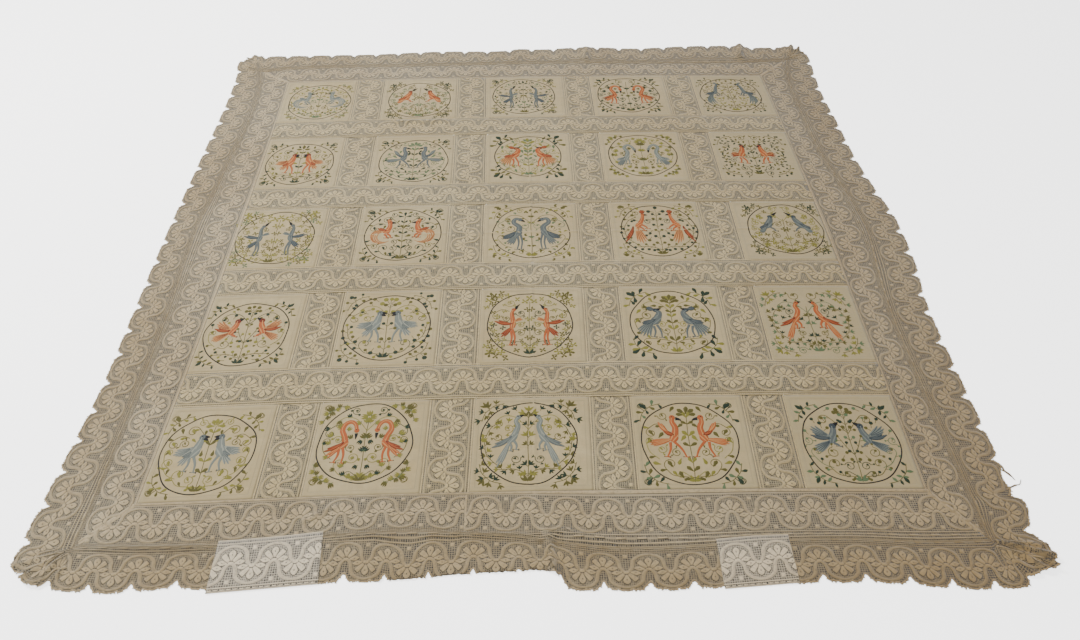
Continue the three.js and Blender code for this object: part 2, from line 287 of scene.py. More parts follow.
def seam_point(side, at):
    return on_side(side, at, through(side["seam"], at))


def side_ends(side, line):
    return side[line][0][0], side[line][-1][0]


def laid(x, y, lift):
    """A point of the plan, raised with the folds and the rumples: metres in the frame."""
    z = fold_height(x, y) + rumple(x, y) + lift
    return np.stack([x + OFFSET[0], y + OFFSET[1], z], -1) * MM


def border_share(depth, v):
    """How far out from the linen, 0 to 1, a drawn v lies where the border is this deep."""
    scale = np.clip((depth - BORDER_ROWS) / PATTERN_SPAN, *PATTERN_SCALE)
    middle = BORDER_MIDDLE * scale + WIDE_SHARE * np.maximum(depth - WIDE_BORDER, 0)
    inner, outer = middle - PATTERN_HALF * scale, middle + PATTERN_HALF * scale
    top = (BORDER_TOP - v) / (BORDER_TOP - PATTERN_HALF) * inner
    foot = outer + (-PATTERN_HALF - v) / (-PATTERN_HALF - BORDER_FOOT) * (depth - outer)
    away = np.where(v > PATTERN_HALF, top, np.where(v > -PATTERN_HALF, middle - v * scale, foot))
    return away / depth


def border_plan(side, at, v):
    """Where a border point lies in plan."""
    x, y = swayed(*on_side(side, at, HALF))
    along, out = side["along"], side["out"]
    seam_x, seam_y = seam_point(side, x * along[0] + y * along[1])
    depth = (seam_x - x) * out[0] + (seam_y - y) * out[1]
    part = border_share(depth, v)
    return mix(x, seam_x, part), mix(y, seam_y, part)


def lie_border(side, at, v, lift):
    """Places border points: at along the side, v across the drawing, from top to foot."""
    return laid(*border_plan(side, at, v), lift)


def border_ends(side, v):
    """Where the mitres cut the border at a drawn v."""
    v = np.asarray(v, float)
    along, out = side["along"], side["out"]
    found = []
    for corner, (seam_at, seam_out) in ((-HALF, side["seam"][0]), (HALF, side["seam"][-1])):
        x, y = swayed(*on_side(side, corner, HALF))
        corner_at, corner_out = x * along[0] + y * along[1], x * out[0] + y * out[1]
        at = np.full(v.shape, float(corner))
        for _ in range(8):
            x, y = border_plan(side, at, v)
            part = (x * out[0] + y * out[1] - corner_out) / (seam_out - corner_out)
            at = at + mix(corner_at, seam_at, part) - (x * along[0] + y * along[1])
        found.append(at)
    return found[0] - 0.3, found[1] + 0.3


def pleat_lift(name, at, part):
    """How far the corner pleats lift the edging."""
    side = SIDES[name]
    start, end = side_ends(side, "edge")
    order = list(SIDES).index(name)
    lift = 0.0
    for corner, distance in ((order, at - start), ((order + 1) % 4, end - at)):
        height, reach = CORNER_PLEATS[corner]
        folds = 0.4 + 0.6 * np.abs(np.cos(math.pi * distance / PLEAT_PITCH)) ** 1.5
        lift = lift + height * part * folds * eased(1.15 - distance / reach)
    return lift


def lie_edging(name, at, v, lift):
    """Places edging points: v across the drawing, from its top at the seam to its tips."""
    side = SIDES[name]
    start, end = side_ends(side, "seam")
    kept = np.clip(at, start, end)
    seam_x, seam_y = seam_point(side, kept + 0.02 * (at - kept))
    edge_x, edge_y = on_side(side, at, through(side["edge"], at))
    out = side["out"]
    depth = (edge_x - seam_x) * out[0] + (edge_y - seam_y) * out[1]
    tuck = through(TUCK, at) if name == "front" else 0.0 * at
    scale = np.clip((depth + tuck - EDGING_ROWS) / PATTERN_SPAN, *PATTERN_SCALE)
    inner = (PATTERN_HALF - EDGING_TIP) * scale - tuck
    rows = inner + (v - PATTERN_HALF) / (EDGING_TOP - PATTERN_HALF) * (depth - inner)
    in_from_edge = np.where(v < PATTERN_HALF, (v - EDGING_TIP) * scale - tuck, rows)
    part = 1 - np.abs(in_from_edge) / depth
    rise = TUCK_RISE * np.clip(tuck / 6, 0, 1) * eased((part - 0.5) / 0.3)
    return laid(mix(seam_x, edge_x, part), mix(seam_y, edge_y, part),
                pleat_lift(name, at, part) + rise + np.where(in_from_edge < 0, -lift, lift))


# Where the front edging is tucked under: distance along, and how much of it is under.
TUCK = [(-1200, 0), (-352, 0), (-312, 8), (-268, 14), (-222, 9), (-176, 14), (-131, 9), (-85, 14),
        (-40, 10), (14, 12), (44, 0), (1200, 0)]
TUCK_RISE = 2.3


# ------------------------------------------------------------------ meshes from many shapes

class Work:
    """Shapes gathered into one mesh, with a tone and a pattern place for each point."""

    def __init__(self):
        self.points, self.faces, self.finishes, self.tones, self.patterns = [], [], [], [], []
        self.count = 0

    def add(self, points, faces, finish=0, tone=1.0, pattern=None):
        points = np.asarray(points, float).reshape(-1, 3)
        number = len(points)
        self.points.append(points)
        self.tones.append(np.broadcast_to(np.asarray(tone, float), (number,)))
        if pattern is None:
            pattern = np.zeros((number, 3))
        self.patterns.append(np.asarray(pattern, float).reshape(number, 3))
        for group in faces:
            group = np.asarray(group, int)
            self.faces.append(group + self.count)
            self.finishes.append(np.full(len(group), finish))
        self.count += number

    def build(self, name, materials):
        """Makes the Blender object."""
        mesh = bpy.data.meshes.new(name)
        mesh.vertices.add(self.count)
        mesh.vertices.foreach_set("co", np.concatenate(self.points).ravel())
        sizes = np.concatenate([np.full(len(g), g.shape[1]) for g in self.faces])
        corners = np.concatenate([g.ravel() for g in self.faces])
        mesh.loops.add(len(corners))
        mesh.loops.foreach_set("vertex_index", corners)
        mesh.polygons.add(len(sizes))
        mesh.polygons.foreach_set("loop_start", np.concatenate([[0], np.cumsum(sizes)[:-1]]))
        mesh.polygons.foreach_set("loop_total", sizes)
        mesh.polygons.foreach_set("material_index", np.concatenate(self.finishes))
        mesh.polygons.foreach_set("use_smooth", np.ones(len(sizes), bool))
        mesh.update(calc_edges=True)
        # The tone steers painted shade in the finishes: at the feet of raised work and stitches,
        # and how much painted shade fills a net's holes.
        tone = mesh.attributes.new("tone", "FLOAT", "POINT")
        tone.data.foreach_set("value", np.concatenate(self.tones))
        pattern = mesh.attributes.new("pattern", "FLOAT_VECTOR", "POINT")
        pattern.data.foreach_set("vector", np.concatenate(self.patterns).ravel())
        for material in materials:
            mesh.materials.append(material)
        piece = bpy.data.objects.new(name, mesh)
        bpy.context.collection.objects.link(piece)
        return piece


def grid_faces(wide, high, start=0, flip=False):
    """Quads of a grid of wide by high points, numbered along the second direction first."""
    i, j = np.meshgrid(np.arange(wide - 1), np.arange(high - 1), indexing="ij")
    a = (i * high + j).ravel() + start
    quads = np.stack([a, a + high, a + high + 1, a + 1], 1)
    return quads[:, ::-1] if flip else quads


def rim_faces(wide, high, under, flip):
    """Quads that join the rims of two stacked grids."""
    rim = [(i, 0) for i in range(wide)] + [(wide - 1, j) for j in range(1, high)]
    rim += [(i, high - 1) for i in range(wide - 2, -1, -1)]
    rim += [(0, j) for j in range(high - 2, 0, -1)]
    top = np.array([i * high + j for i, j in rim])
    after = np.roll(top, -1)
    quads = np.stack([top, top + under, after + under, after], 1)
    return quads[:, ::-1] if flip else quads


def closed_sheet(top, bottom, pattern, tone=1.0):
    """A thin closed sheet from two grids of points, shaped (wide, high, 3)."""
    work = Work()
    wide, high = top.shape[:2]
    number = wide * high
    a, b, c = top[0, 0], top[1, 0], top[0, 1]
    flip = np.cross(b - a, c - a)[2] < 0
    points = np.concatenate([top.reshape(-1, 3), bottom.reshape(-1, 3)])
    faces = [grid_faces(wide, high, 0, flip), grid_faces(wide, high, number, not flip),
             rim_faces(wide, high, number, flip)]
    patterns = np.concatenate([pattern.reshape(-1, 3)] * 2)
    tones = np.concatenate([np.broadcast_to(tone, (wide, high)).ravel()] * 2)
    work.add(points, faces, 0, tones, patterns)
    return work


# ------------------------------------------------------------------ shapes drawn on the lace

class Motif:
    """A flat shape raised into relief: points as (u, v, height), faces and tones."""

    def __init__(self, points=(), faces=(), tones=()):
        self.points = np.asarray(points, float).reshape(-1, 3)
        self.faces = [np.asarray(group, int) for group in faces]
        self.tones = np.asarray(tones, float)

    def joined(self, other):
        shift = len(self.points)
        return Motif(np.concatenate([self.points, other.points]),
                     self.faces + [group + shift for group in other.faces],
                     np.concatenate([self.tones, other.tones]))

    def mirrored(self):
        points = self.points * (1, -1, 1)
        return Motif(points, [group[:, ::-1] for group in self.faces], self.tones)

    def moved(self, u, v=0.0):
        return Motif(self.points + (u, v, 0), self.faces, self.tones)


def outline_from(start, end, width, profile):
    """A closed outline about an axis, from half-widths given at places along it."""
    start, end = np.asarray(start, float), np.asarray(end, float)
    axis = end - start
    normal = np.array([-axis[1], axis[0]]) / np.linalg.norm(axis)
    right = [start + axis * t - normal * width / 2 * w for t, w in profile]
    left = [start + axis * t + normal * width / 2 * w for t, w in reversed(profile)]
    return np.array(right + left)


def bead(outline, crown, dimple=False, rim=0.84):
    """A domed pad of clothwork. If asked, its middle sinks into a dimple painted as shade, standing
    for a small pierced hole.
    """
    number = len(outline)
    middle = outline.mean(0)
    # Tones: 0 on the foot ring, where the finishes paint shade, and 1 on the dome. A dimpled middle
    # is painted fully shaded.
    rings = [(1.0, 0.0, 0.0), (rim, 0.85, 1.0), (0.2 if dimple else 0.4, 1.0, 1.0)]
    points, tones = [], []
    for scale, height, tone in rings:
        ring = middle + (outline - middle) * scale
        points.append(np.column_stack([ring, np.full(number, crown * height)]))
        tones += [tone] * number
    points.append(np.array([[middle[0], middle[1], crown * (0.2 if dimple else 1.05)]]))
    tones.append(0.0 if dimple else 1.0)
    around = np.arange(number)
    after = np.roll(around, -1)
    quads = [np.stack([around + ring * number, after + ring * number,
                       after + (ring + 1) * number, around + (ring + 1) * number], 1)
             for ring in range(2)]
    fan = np.stack([around + 2 * number, after + 2 * number, np.full(number, 3 * number)], 1)
    return Motif(np.concatenate(points), quads + [fan], tones)


def smooth_line(points, count):
    """Evenly sampled points on a smooth curve through the given ones."""
    points = np.asarray(points, float)
    ends = np.concatenate([[2 * points[0] - points[1]], points, [2 * points[-1] - points[-2]]])
    places = np.linspace(0, len(points) - 1, count)
    i = np.clip(places.astype(int), 0, len(points) - 2)
    t = (places - i)[:, None]
    a, b, c, d = ends[i], ends[i + 1], ends[i + 2], ends[i + 3]
    return 0.5 * (2 * b + (c - a) * t + (2 * a - 5 * b + 4 * c - d) * t**2
                  + (3 * b - 3 * c + d - a) * t**3)


def tape(line, width, crown, shoulder=0.34, top_tone=1.0):
    """A raised tape along a line; width is one number or one for each point."""
    line = np.asarray(line, float)
    number = len(line)
    width = np.broadcast_to(np.asarray(width, float), (number,))[:, None]
    heading = np.gradient(line, axis=0)
    heading /= np.maximum(np.linalg.norm(heading, axis=1, keepdims=True), 1e-9)
    normal = np.stack([-heading[:, 1], heading[:, 0]], 1)
    # Tones: 0 at the edges, where the finishes paint shade, and top_tone on the crown. A top_tone
    # below 1 paints shade over the whole tape.
    section = [(0.5, 0.0, 0.0), (shoulder, 1.0, 1.0), (-shoulder, 1.0, 1.0), (-0.5, 0.0, 0.0)]
    points = np.stack([np.column_stack([line + normal * width * side,
                                        np.full(number, crown * high)])
                       for side, high, _ in section], 1)
    tones = np.tile([tone * top_tone for _, _, tone in section], number)
    return Motif(points.reshape(-1, 3), [grid_faces(number, 4, 0, True)], tones)


def block(u, v, length, width, crown):
    """A small solid block of darning."""
    shape = np.array([(-1, -1), (1, -1), (1, 1), (-1, 1)]) * (length / 2, width / 2) + (u, v)
    lower = np.column_stack([shape, np.zeros(4)])
    narrower = (1 - BLOCK_SLOPE[0] / length, max(0.5, 1 - BLOCK_SLOPE[1] / width))
    upper = np.column_stack([(shape - (u, v)) * narrower + (u, v), np.full(4, crown)])
    around = np.arange(4)
    after = np.roll(around, -1)
    sides = np.stack([around, after, after + 4, around + 4], 1)
    # Tones: 0.1 at the foot, which is painted shade, and 1 on top.
    return Motif(np.concatenate([lower, upper]), [sides, np.array([[4, 5, 6, 7]])],
                 [0.1] * 4 + [1.0] * 4)


BLOCK_SLOPE = (1.2, 1.4)
PETAL_CROWN = 1.15
TAPE_CROWN = 0.7
TOP_PETAL = [(0, 0.2), (0.32, 0.62), (0.62, 1.0), (0.84, 0.76), (1.0, 0.24)]
BAR_PETAL = [(0, 0.58), (0.35, 0.86), (0.84, 1.0), (1.0, 0.9)]
SIDE_PETAL = [(0, 0.2), (0.36, 0.86), (0.62, 0.96), (1.0, 0.16)]
HUB = [(0.0, 0.6), (0.5, 1.0), (1.0, 0.6)]

# Petals of one flower, drawn upwards from its hub: start, end, width, profile, pierced.
PETALS = [
    ((0, 7.2), (0, 33.6), 18.4, TOP_PETAL, True),
    ((3.4, 6.2), (20.6, 24.0), 12.8, BAR_PETAL, False),
    ((-3.4, 6.2), (-20.6, 24.0), 12.8, BAR_PETAL, False),
    ((6.0, 3.2), (31.2, 7.0), 13.2, SIDE_PETAL, True),
    ((-6.0, 3.2), (-31.2, 7.0), 13.2, SIDE_PETAL, True),
]

# The horseshoe of tape round one flower, from the hub before it to the hub after it.
HORSESHOE_FOOT = [(-45.5, -4), (-37.2, 1.0), (-33.0, 10.0), (-31.6, 19.5), (-27.6, 28.8),
                  (-16.2, 37.0)]
HORSESHOE = HORSESHOE_FOOT + [(0, 40)] + [(-u, v) for u, v in reversed(HORSESHOE_FOOT)]
HORSESHOE_WIDTHS = [6.0, 8.2, 9.2, 9.5, 8.8, 7.0, 6.0, 7.0, 8.8, 9.5, 9.2, 8.2, 6.0]
HORSESHOE_STEPS = 29


def spread_out(values, count):
    """Values read evenly along a short table of them."""
    return np.interp(np.linspace(0, 1, count), np.linspace(0, 1, len(values)), values)


def flower():
    """One flower with its horseshoe."""
    whole = Motif()
    for start, end, width, profile, pierced in PETALS:
        outline = outline_from(start, end, width, profile)
        whole = whole.joined(bead(outline, PETAL_CROWN, pierced, 0.78))
    whole = whole.joined(bead(outline_from((-6.5, 4), (6.5, 4), 8.5, HUB), PETAL_CROWN * 0.8))
    line = smooth_line(np.array(HORSESHOE), HORSESHOE_STEPS)
    widths = spread_out(HORSESHOE_WIDTHS, HORSESHOE_STEPS)
    # The horseshoe's crown keeps some painted shade, with a top tone of 0.76.
    return whole.joined(tape(line, widths, TAPE_CROWN, 0.44, 0.76))


class Run:
    """An unbroken length of lace: where it starts and ends, and how its drawing falls on it."""

    def __init__(self, start, end, drawn, places):
        self.start, self.end = start, end
        self.drawn, self.places = np.asarray(drawn, float), np.asarray(places, float)

    def at(self, u):
        """Distance along the side for drawn u."""
        return np.interp(u, self.drawn, self.places)

    def u(self, at):
        """Drawn u for distance along the side."""
        return np.interp(at, self.places, self.drawn)


def even_run(start, end, flower_at, pitch=REPEAT):
    """A run of evenly spaced flowers, one of which points to +v at flower_at."""
    reach = np.array([-60, 60])
    return Run(start, end, reach * REPEAT, flower_at + reach * pitch)


class Lace:
    """A length of lace: its net and the clothwork on it, in one or more runs."""

    def __init__(self, lie, limits, runs):
        self.lie, self.limits, self.runs = lie, limits, runs
        self.net, self.work = None, Work()
        a, b, c = lie(np.array([0.0, 1.0, 0.0]), np.array([0.0, 0.0, 1.0]), np.zeros(3))
        self.flip = np.cross(b - a, c - a)[2] < 0

    def make_net(self, inner, outer, step, rows, openness=None):
        """The thin closed net; inner is v on one edge, outer gives v for each drawn u."""
        shares = np.linspace(0, 1, rows)
        low, high = self.limits(np.linspace(inner, outer(np.float64(REPEAT / 2)), rows))
        first, last = self.runs[0].start, self.runs[-1].end
        at, u = [], []
        for run in self.runs:
            places = np.linspace(run.start, run.end, int((run.end - run.start) / step) + 2)
            share = ((places - first) / (last - first))[:, None]
            spread = low + (high - low) * share
            at.append(spread)
            u.append(run.u(spread))
        at, u = np.concatenate(at), np.concatenate(u)
        v = inner + (outer(u) - inner) * shares + 0 * u
        tone = np.ones_like(u) if openness is None else openness(at)
        pattern = np.stack([u, v, 0 * u], -1)
        self.net = closed_sheet(self.lie(at, v, 0 * u + NET_TOP),
                                self.lie(at, v, 0 * u + NET_TOP - sizes().net / MM), pattern, tone)

    def set(self, motif, run):
        """Places a motif on a run, cut off at the run's ends."""
        u, v, height = motif.points.T
        height = height * (sizes().relief / MM / PETAL_CROWN)
        low, high = self.limits(v)
        at = run.at(u)
        low, high = np.maximum(low, run.start), np.minimum(high, run.end)
        inside = (at > low) & (at < high)
        faces = [group[inside[group].any(1)] for group in motif.faces]
        faces = [group[:, ::-1] if self.flip else group for group in faces if len(group)]
        if not faces:
            return
        used = np.unique(np.concatenate([group.ravel() for group in faces]))
        number = np.zeros(len(u), int)
        number[used] = np.arange(len(used))
        points = self.lie(np.clip(at, low, high), v, NET_TOP + height)[used]
        pattern = (motif.points * (1, 1, 0))[used]
        self.work.add(points, [number[group] for group in faces], 0, motif.tones[used], pattern)

    def line(self, v, width, crown, step=18):
        """A straight raised line along the whole length."""
        for run in self.runs:
            low, high = run.u(run.start), run.u(run.end)
            u = np.linspace(low, high, max(2, int((high - low) / step)))
            self.set(tape(np.column_stack([u, np.full(len(u), v)]), width, crown), run)

    def dashes(self, v, length, pitch, width, crown):
        """A row of short darned blocks along the whole length."""
        for run in self.runs:
            for u in np.arange(run.u(run.start) + pitch / 2, run.u(run.end), pitch):
                self.set(block(u, v, length, width, crown), run)

    def flowers(self, blocks=(1, -1)):
        """The wave of flowers, and the darned blocks between their horseshoes."""
        for run in self.runs:
            low, high = 2 * run.u(run.start) / REPEAT, 2 * run.u(run.end) / REPEAT
            for half in range(int(math.floor(low)) - 1, int(math.ceil(high)) + 2):
                up = half % 2 == 0
                self.set((FLOWER if up else FLOWER_DOWN).moved(half * REPEAT / 2), run)
                if (-1 if up else 1) in blocks:
                    v = -SPANDREL_BLOCK if up else SPANDREL_BLOCK
                    self.set(block(half * REPEAT / 2, v, *SPANDREL_BLOCK_SIZE, TAPE_CROWN), run)

    def joins(self, inner, outer):
        """A band of close darning over each place where two runs are joined."""
        v = np.linspace(inner, outer, 9)
        for run in self.runs[1:]:
            line = np.column_stack([np.full(9, run.u(run.start) + 2.2), v])
            self.set(tape(line, 5.0, TAPE_CROWN * 0.8, 0.42, 0.84), run)

    def mitre_bands(self, inner, outer):
        """A band of close darning along the lace's own side of each mitre."""
        v = np.linspace(inner, outer, 15)
        low, high = self.limits(v)
        for run, limit, inward in ((self.runs[0], low, 1), (self.runs[-1], high, -1)):
            line = np.column_stack([run.u(limit + inward * MITRE_BAND / 2), v])
            self.set(tape(line, MITRE_BAND, TAPE_CROWN * 0.8, 0.44, 0.9), run)


MITRE_BAND = 7.5
NET_TOP = 0.95
FLOWER = flower()
FLOWER_DOWN = FLOWER.mirrored()
SPANDREL_BLOCK = 35.0
SPANDREL_BLOCK_SIZE = (9.0, 8.6)

# One flower of each strip that points to +v, and how far it is from each to the next.
UPRIGHT_FLOWERS = [(-22.5, 88.5), (-7, 87.0), (-28, 90.0), (17, 90.0)]
CROSS_FLOWERS = [(52, 90.8), (16.5, 92.2), (39, 92.7), (3, 91.7)]

# Runs of border lace: start, end, one flower that points to the linen, and the pitch.
BORDER_RUNS = {
    "front": [(-1100, -152, -247, 91.0), (-152, 1100, -105, 91.6)],
    "right": [(-1100, 1100, 33, 93.1)],
    "back": [(-1100, 1100, -48, 92.0)],
    "left": [(-1100, 1100, -9, 90.1)],
}

# Notches between scallops: count from the side's start, and distance along the side.
NOTCHES = {
    "front": [(0, -1114), (3, -846), (4, -753), (9, -315), (10, -223), (11, -129), (12, -31),
              (14, 147), (15, 245), (16, 337), (20, 701), (21, 792), (22, 877), (23, 965),
              (24, 1049), (25, 1138)],
    "right": [(0, -1106), (1, -1016), (2, -930), (3, -834), (4, -743), (5, -650), (6, -560),
              (7, -471), (8, -360), (9, -293), (10, -212), (11, -118), (12, -24), (13, 67),
              (14, 158), (17, 440), (19, 618), (21, 782), (23, 967), (25, 1134)],
    "back": [(0, -1070), (4, -721), (8, -367), (12, -20), (16, 334), (20, 682), (24, 1030),
             (25, 1118)],
    "left": [(0, -1052), (2, -880), (4, -708), (5, -615), (6, -527), (8, -348), (10, -164),
             (11, -79), (12, 19), (13, 106), (14, 199), (16, 379), (17, 462), (18, 559),
             (22, 910), (23, 1000), (25, 1180)],
}


def under_crossing(y):
    """1 where an upright strip lies under a cross strip, else 0."""
    under = 0.0
    for _, end, after in ROW_BANDS[:-1]:
        outside = np.maximum(y - end, after - y)
        under = np.maximum(under, eased(1 - (outside - 1) / CROSSING_RAMP))
    return under


def insertion_lace(index, upright):
    """One insertion strip, upright or across."""
    table = COLUMN_BANDS if upright else ROW_BANDS
    edge, after = table[index][1:]
    middle, scale = (edge + after) / 2, (abs(after - edge) + 0.3) / STRIP
    ends = ROW_BANDS if upright else COLUMN_BANDS
    first, last = sorted((ends[0][0], ends[-1][1]))

    def lie(at, v, lift):
        across = middle + v * scale
        if upright:
            raised = np.maximum(lift - NET_TOP, 0)
            return lie_flat(across, at, lift - raised * 0.6 * under_crossing(at))
        return lie_flat(at, across, lift + crossing_lift(at))

    def limits(v):
        return np.full(np.shape(v), float(first)), np.full(np.shape(v), float(last))

    flower_at, pitch = (UPRIGHT_FLOWERS if upright else CROSS_FLOWERS)[index]
    lace = Lace(lie, limits, [even_run(first, last, flower_at, pitch)])
    half = STRIP / 2
    # On the cross strips the net's tone falls to 0 over the upright strips, which lightens the
    # painted shade in its holes there.
    openness = None if upright else lambda at: 1 - crossing_lift(at) / (CLOTH + LAY_GAP)
    lace.make_net(half, lambda u: -half, 12, 7, openness)
    lace.flowers()
    for side in (1, -1):
        lace.line(side * 46, 2.4, 0.7)
        lace.line(side * (half - 2.6), 4.8, 0.8)
    return lace


# Where each net's drawing begins and ends across the lace.
BORDER_EDGES = (52.2, -68.1)
EDGING_SEAM = 64.1
SCALLOP_TIP = -47.4
EDGING_GAP = 0.4

# Pitches of the net: inside the horseshoes, between them, and from row to row along the edges.
FINE_MESH, OPEN_MESH, ROW_PITCH = 3.75, 5.0, 7.4

# Half of each hole as a share of its mesh, and where the first row of holes along an edge lies.
FINE_HOLE, OPEN_HOLE, ROW_HOLE = 0.33, 0.38, 0.36
ROW_PLACE = 49.3

# How far the fine net reaches round each flower.
FINE_REACH = 34.0

# Across the border's drawing: v and width of each line, then the rows of dashes.
BORDER_LINES = [(49.2, 5.4), (-45.8, 2.6), (-60.4, 3.4), (-66.6, 1.6)]
BORDER_DASHES = -53.0
JOIN_SPAN, MITRE_SPAN = (46, -46), (46, -44)
EDGING_LINES = [(62.9, 1.6), (53.0, 2.8), (45.6, 2.6)]
EDGING_DASHES = 60.0
DASH, DASH_PITCH = 22.0, 45.0
PICOTS_A_SCALLOP = 12
PICOT = [(0, 0.9), (0.7, 0.8), (1.0, 0.15)]
PICOT_LENGTH, PICOT_WIDTH = 3.4, 4.2


def border_lace(name):
    """One border length, with mitred ends."""
    side = SIDES[name]

    def lie(at, v, lift):
        return lie_border(side, at, v, lift)

    lace = Lace(lie, lambda v: border_ends(side, v), [even_run(*run) for run in BORDER_RUNS[name]])
    lace.make_net(BORDER_EDGES[0], lambda u: BORDER_EDGES[1], 10, 15)
    lace.flowers()
    lace.joins(*JOIN_SPAN)
    lace.mitre_bands(*MITRE_SPAN)
    for v, width in BORDER_LINES:
        lace.line(v, width, 0.8)
    lace.dashes(BORDER_DASHES, DASH, DASH_PITCH, 4.2, 1.1)
    lace.dashes(49.2, DASH * 0.7, DASH_PITCH * 0.7, 2.2, 1.3)
    return lace


def scallop_line(u):
    """v of the edging's outline, for drawn u."""
    from_tip = np.abs(2 * (u / REPEAT - np.floor(u / REPEAT)) - 1)
    ragged = 1.7 * np.sin(u * 0.21 + 1.3) + 1.3 * np.sin(u * 0.47) + 0.8 * np.sin(u * 0.93 + 2.0)
    return SCALLOP_TIP + SCALLOP_DEPTH * from_tip ** 4.0 + ragged


def edging_lace(name):
    """One length of scalloped edging with its picots."""
    side = SIDES[name]
    start, end = side_ends(side, "edge")
    counts, places = (np.array(column, float) for column in zip(*NOTCHES[name]))

    def lie(at, v, lift):
        return lie_edging(name, at, v, lift)

    def limits(v):
        return np.full(np.shape(v), start + EDGING_GAP), np.full(np.shape(v), end - EDGING_GAP)

    run = Run(start, end, counts * REPEAT, places)
    lace = Lace(lie, limits, [run])
    lace.make_net(EDGING_SEAM, scallop_line, 6, 15)
    lace.flowers(blocks=(1,))
    for v, width in EDGING_LINES:
        lace.line(v, width, 0.8)
    lace.dashes(EDGING_DASHES, DASH, DASH_PITCH, 4.0, 1.1)
    u = np.arange(run.u(start), run.u(end), REPEAT / 36)
    lace.set(tape(np.column_stack([u, scallop_line(u) + 2.0]), 4.2, 0.9), run)
    picots(lace, run)
    if name == "right":
        loose_threads(lace.work)
    return lace


def picots(lace, run):
    """Small pointed loops all along the outline."""
    pitch = REPEAT / PICOTS_A_SCALLOP
    for u in np.arange(run.u(run.start) + 4, run.u(run.end) - 4, pitch):
        v = scallop_line(np.array([u - 1, u, u + 1]))
        normal = np.array([(v[2] - v[0]) / 2, -1.0])
        normal /= np.linalg.norm(normal)
        foot = np.array([u, v[1] + 0.6])
        tip = foot + normal * PICOT_LENGTH
        lace.set(bead(outline_from(foot, tip, PICOT_WIDTH, PICOT), 0.8), run)


# Torn threads at the right: the points each passes through, and its width at the root.
LOOSE_THREADS = [
    ([(1082, -838), (1094, -852), (1096, -864), (1104, -874), (1110, -890)], 7.0),
    ([(1082, -850), (1090, -862), (1096, -868), (1106, -882)], 4.5),
    ([(1078, -905), (1092, -908), (1104, -903), (1116, -901), (1124, -889)], 5.0),
    ([(1080, -914), (1096, -907), (1108, -904)], 6.0),
]


def loose_threads(work):
    """Strands hanging from the torn place, as flat tapers with a round back."""
    for points, width in LOOSE_THREADS:
        line = smooth_line(np.array(points, float), 24)
        strand = tape(line, width * np.linspace(1, 0.25, 24), 1.1, 0.3)
        x, y, height = strand.points.T
        top = laid(x, y, height + 0.5)
        # The strands' tops are painted a little shaded (tones times 0.8), and their undersides more
        # (tone 0.3).
        work.add(top, strand.faces, 0, strand.tones * 0.8, strand.points * (1, 1, 0))
        work.add(laid(x, y, 0.3), [group[:, ::-1] for group in strand.faces], 0, 0.3)


def mend_lace(row):
    """A straight length of newer lace sewn over the edging."""
    _, start, end, out_start, out_end, skew_start, skew_end = row
    side = SIDES["front"]

    def lie(at, v, lift):
        part = (at - start) / (end - start)
        share = (STRIP / 2 - v) / STRIP
        there = at + mix(skew_start, skew_end, part) * share
        inner_x, inner_y = on_side(side, there, through(side["seam"], there) - MEND_OVERLAP)
        outer_x, outer_y = on_side(side, there, mix(out_start, out_end, part) + MEND_REACH)
        return laid(mix(inner_x, outer_x, share), mix(inner_y, outer_y, share), lift + MEND_LIFT)

    def limits(v):
        return np.full(np.shape(v), float(start)), np.full(np.shape(v), float(end))

    lace = Lace(lie, limits, [even_run(start, end, start + 38)])
    lace.make_net(STRIP / 2, lambda u: -STRIP / 2, 8, 9)
    lace.flowers()
    for v in (46, -46, STRIP / 2 - 1.2, 1.2 - STRIP / 2):
        lace.line(v, 2.2, 0.8)
    lace.dashes(-50.5, 9.5, 13, 3.4, 0.8)
    return lace


# ------------------------------------------------------------------ linen

def linen_grid(row, column, lines=25):
    """Grid places of one square, closer together at the hem."""
    left, right, _ = COLUMN_BANDS[column]
    back, front, _ = ROW_BANDS[row]
    width = sizes().hem / MM

    def stations(low, high):
        inner = np.linspace(low + width + 1.6, high - width - 1.6, lines)
        if low < 0 < high:
            inner = np.sort(np.concatenate([inner[abs(inner) > 17], np.linspace(-15, 15, 13)]))
        hem = np.array([-0.15, width / 2, width])
        return np.concatenate([low + hem, inner, high - hem[::-1]])

    return np.meshgrid(stations(left, right), stations(front, back), indexing="ij")


def linen_square(row, column):
    """One hemmed square; its pattern holds local places and the distance from the edge."""
    left, right, _ = COLUMN_BANDS[column]
    back, front, _ = ROW_BANDS[row]
    x, y = linen_grid(row, column)
    from_edge = np.minimum(np.minimum(x - left, right - x), np.minimum(y - front, back - y))
    hem = eased((sizes().hem / MM + 1.4 - from_edge) / 1.4)
    pattern = np.stack([x - (left + right) / 2, y - (front + back) / 2, from_edge], -1)
    top = lie_flat(x, y, LINEN_TOP + hem * (CLOTH - LINEN_TOP))
    bottom = lie_flat(x, y, LINEN_UNDER * (1 - hem))
    return closed_sheet(top, bottom, pattern)


LINEN_TOP = 0.95
LINEN_UNDER = 0.3


# ------------------------------------------------------------------ needlework on the linen

SATIN = 0.62
STITCH_FOOT = -0.16
STEM_WIDTH = 1.8
RING_WIDTH = 3.3

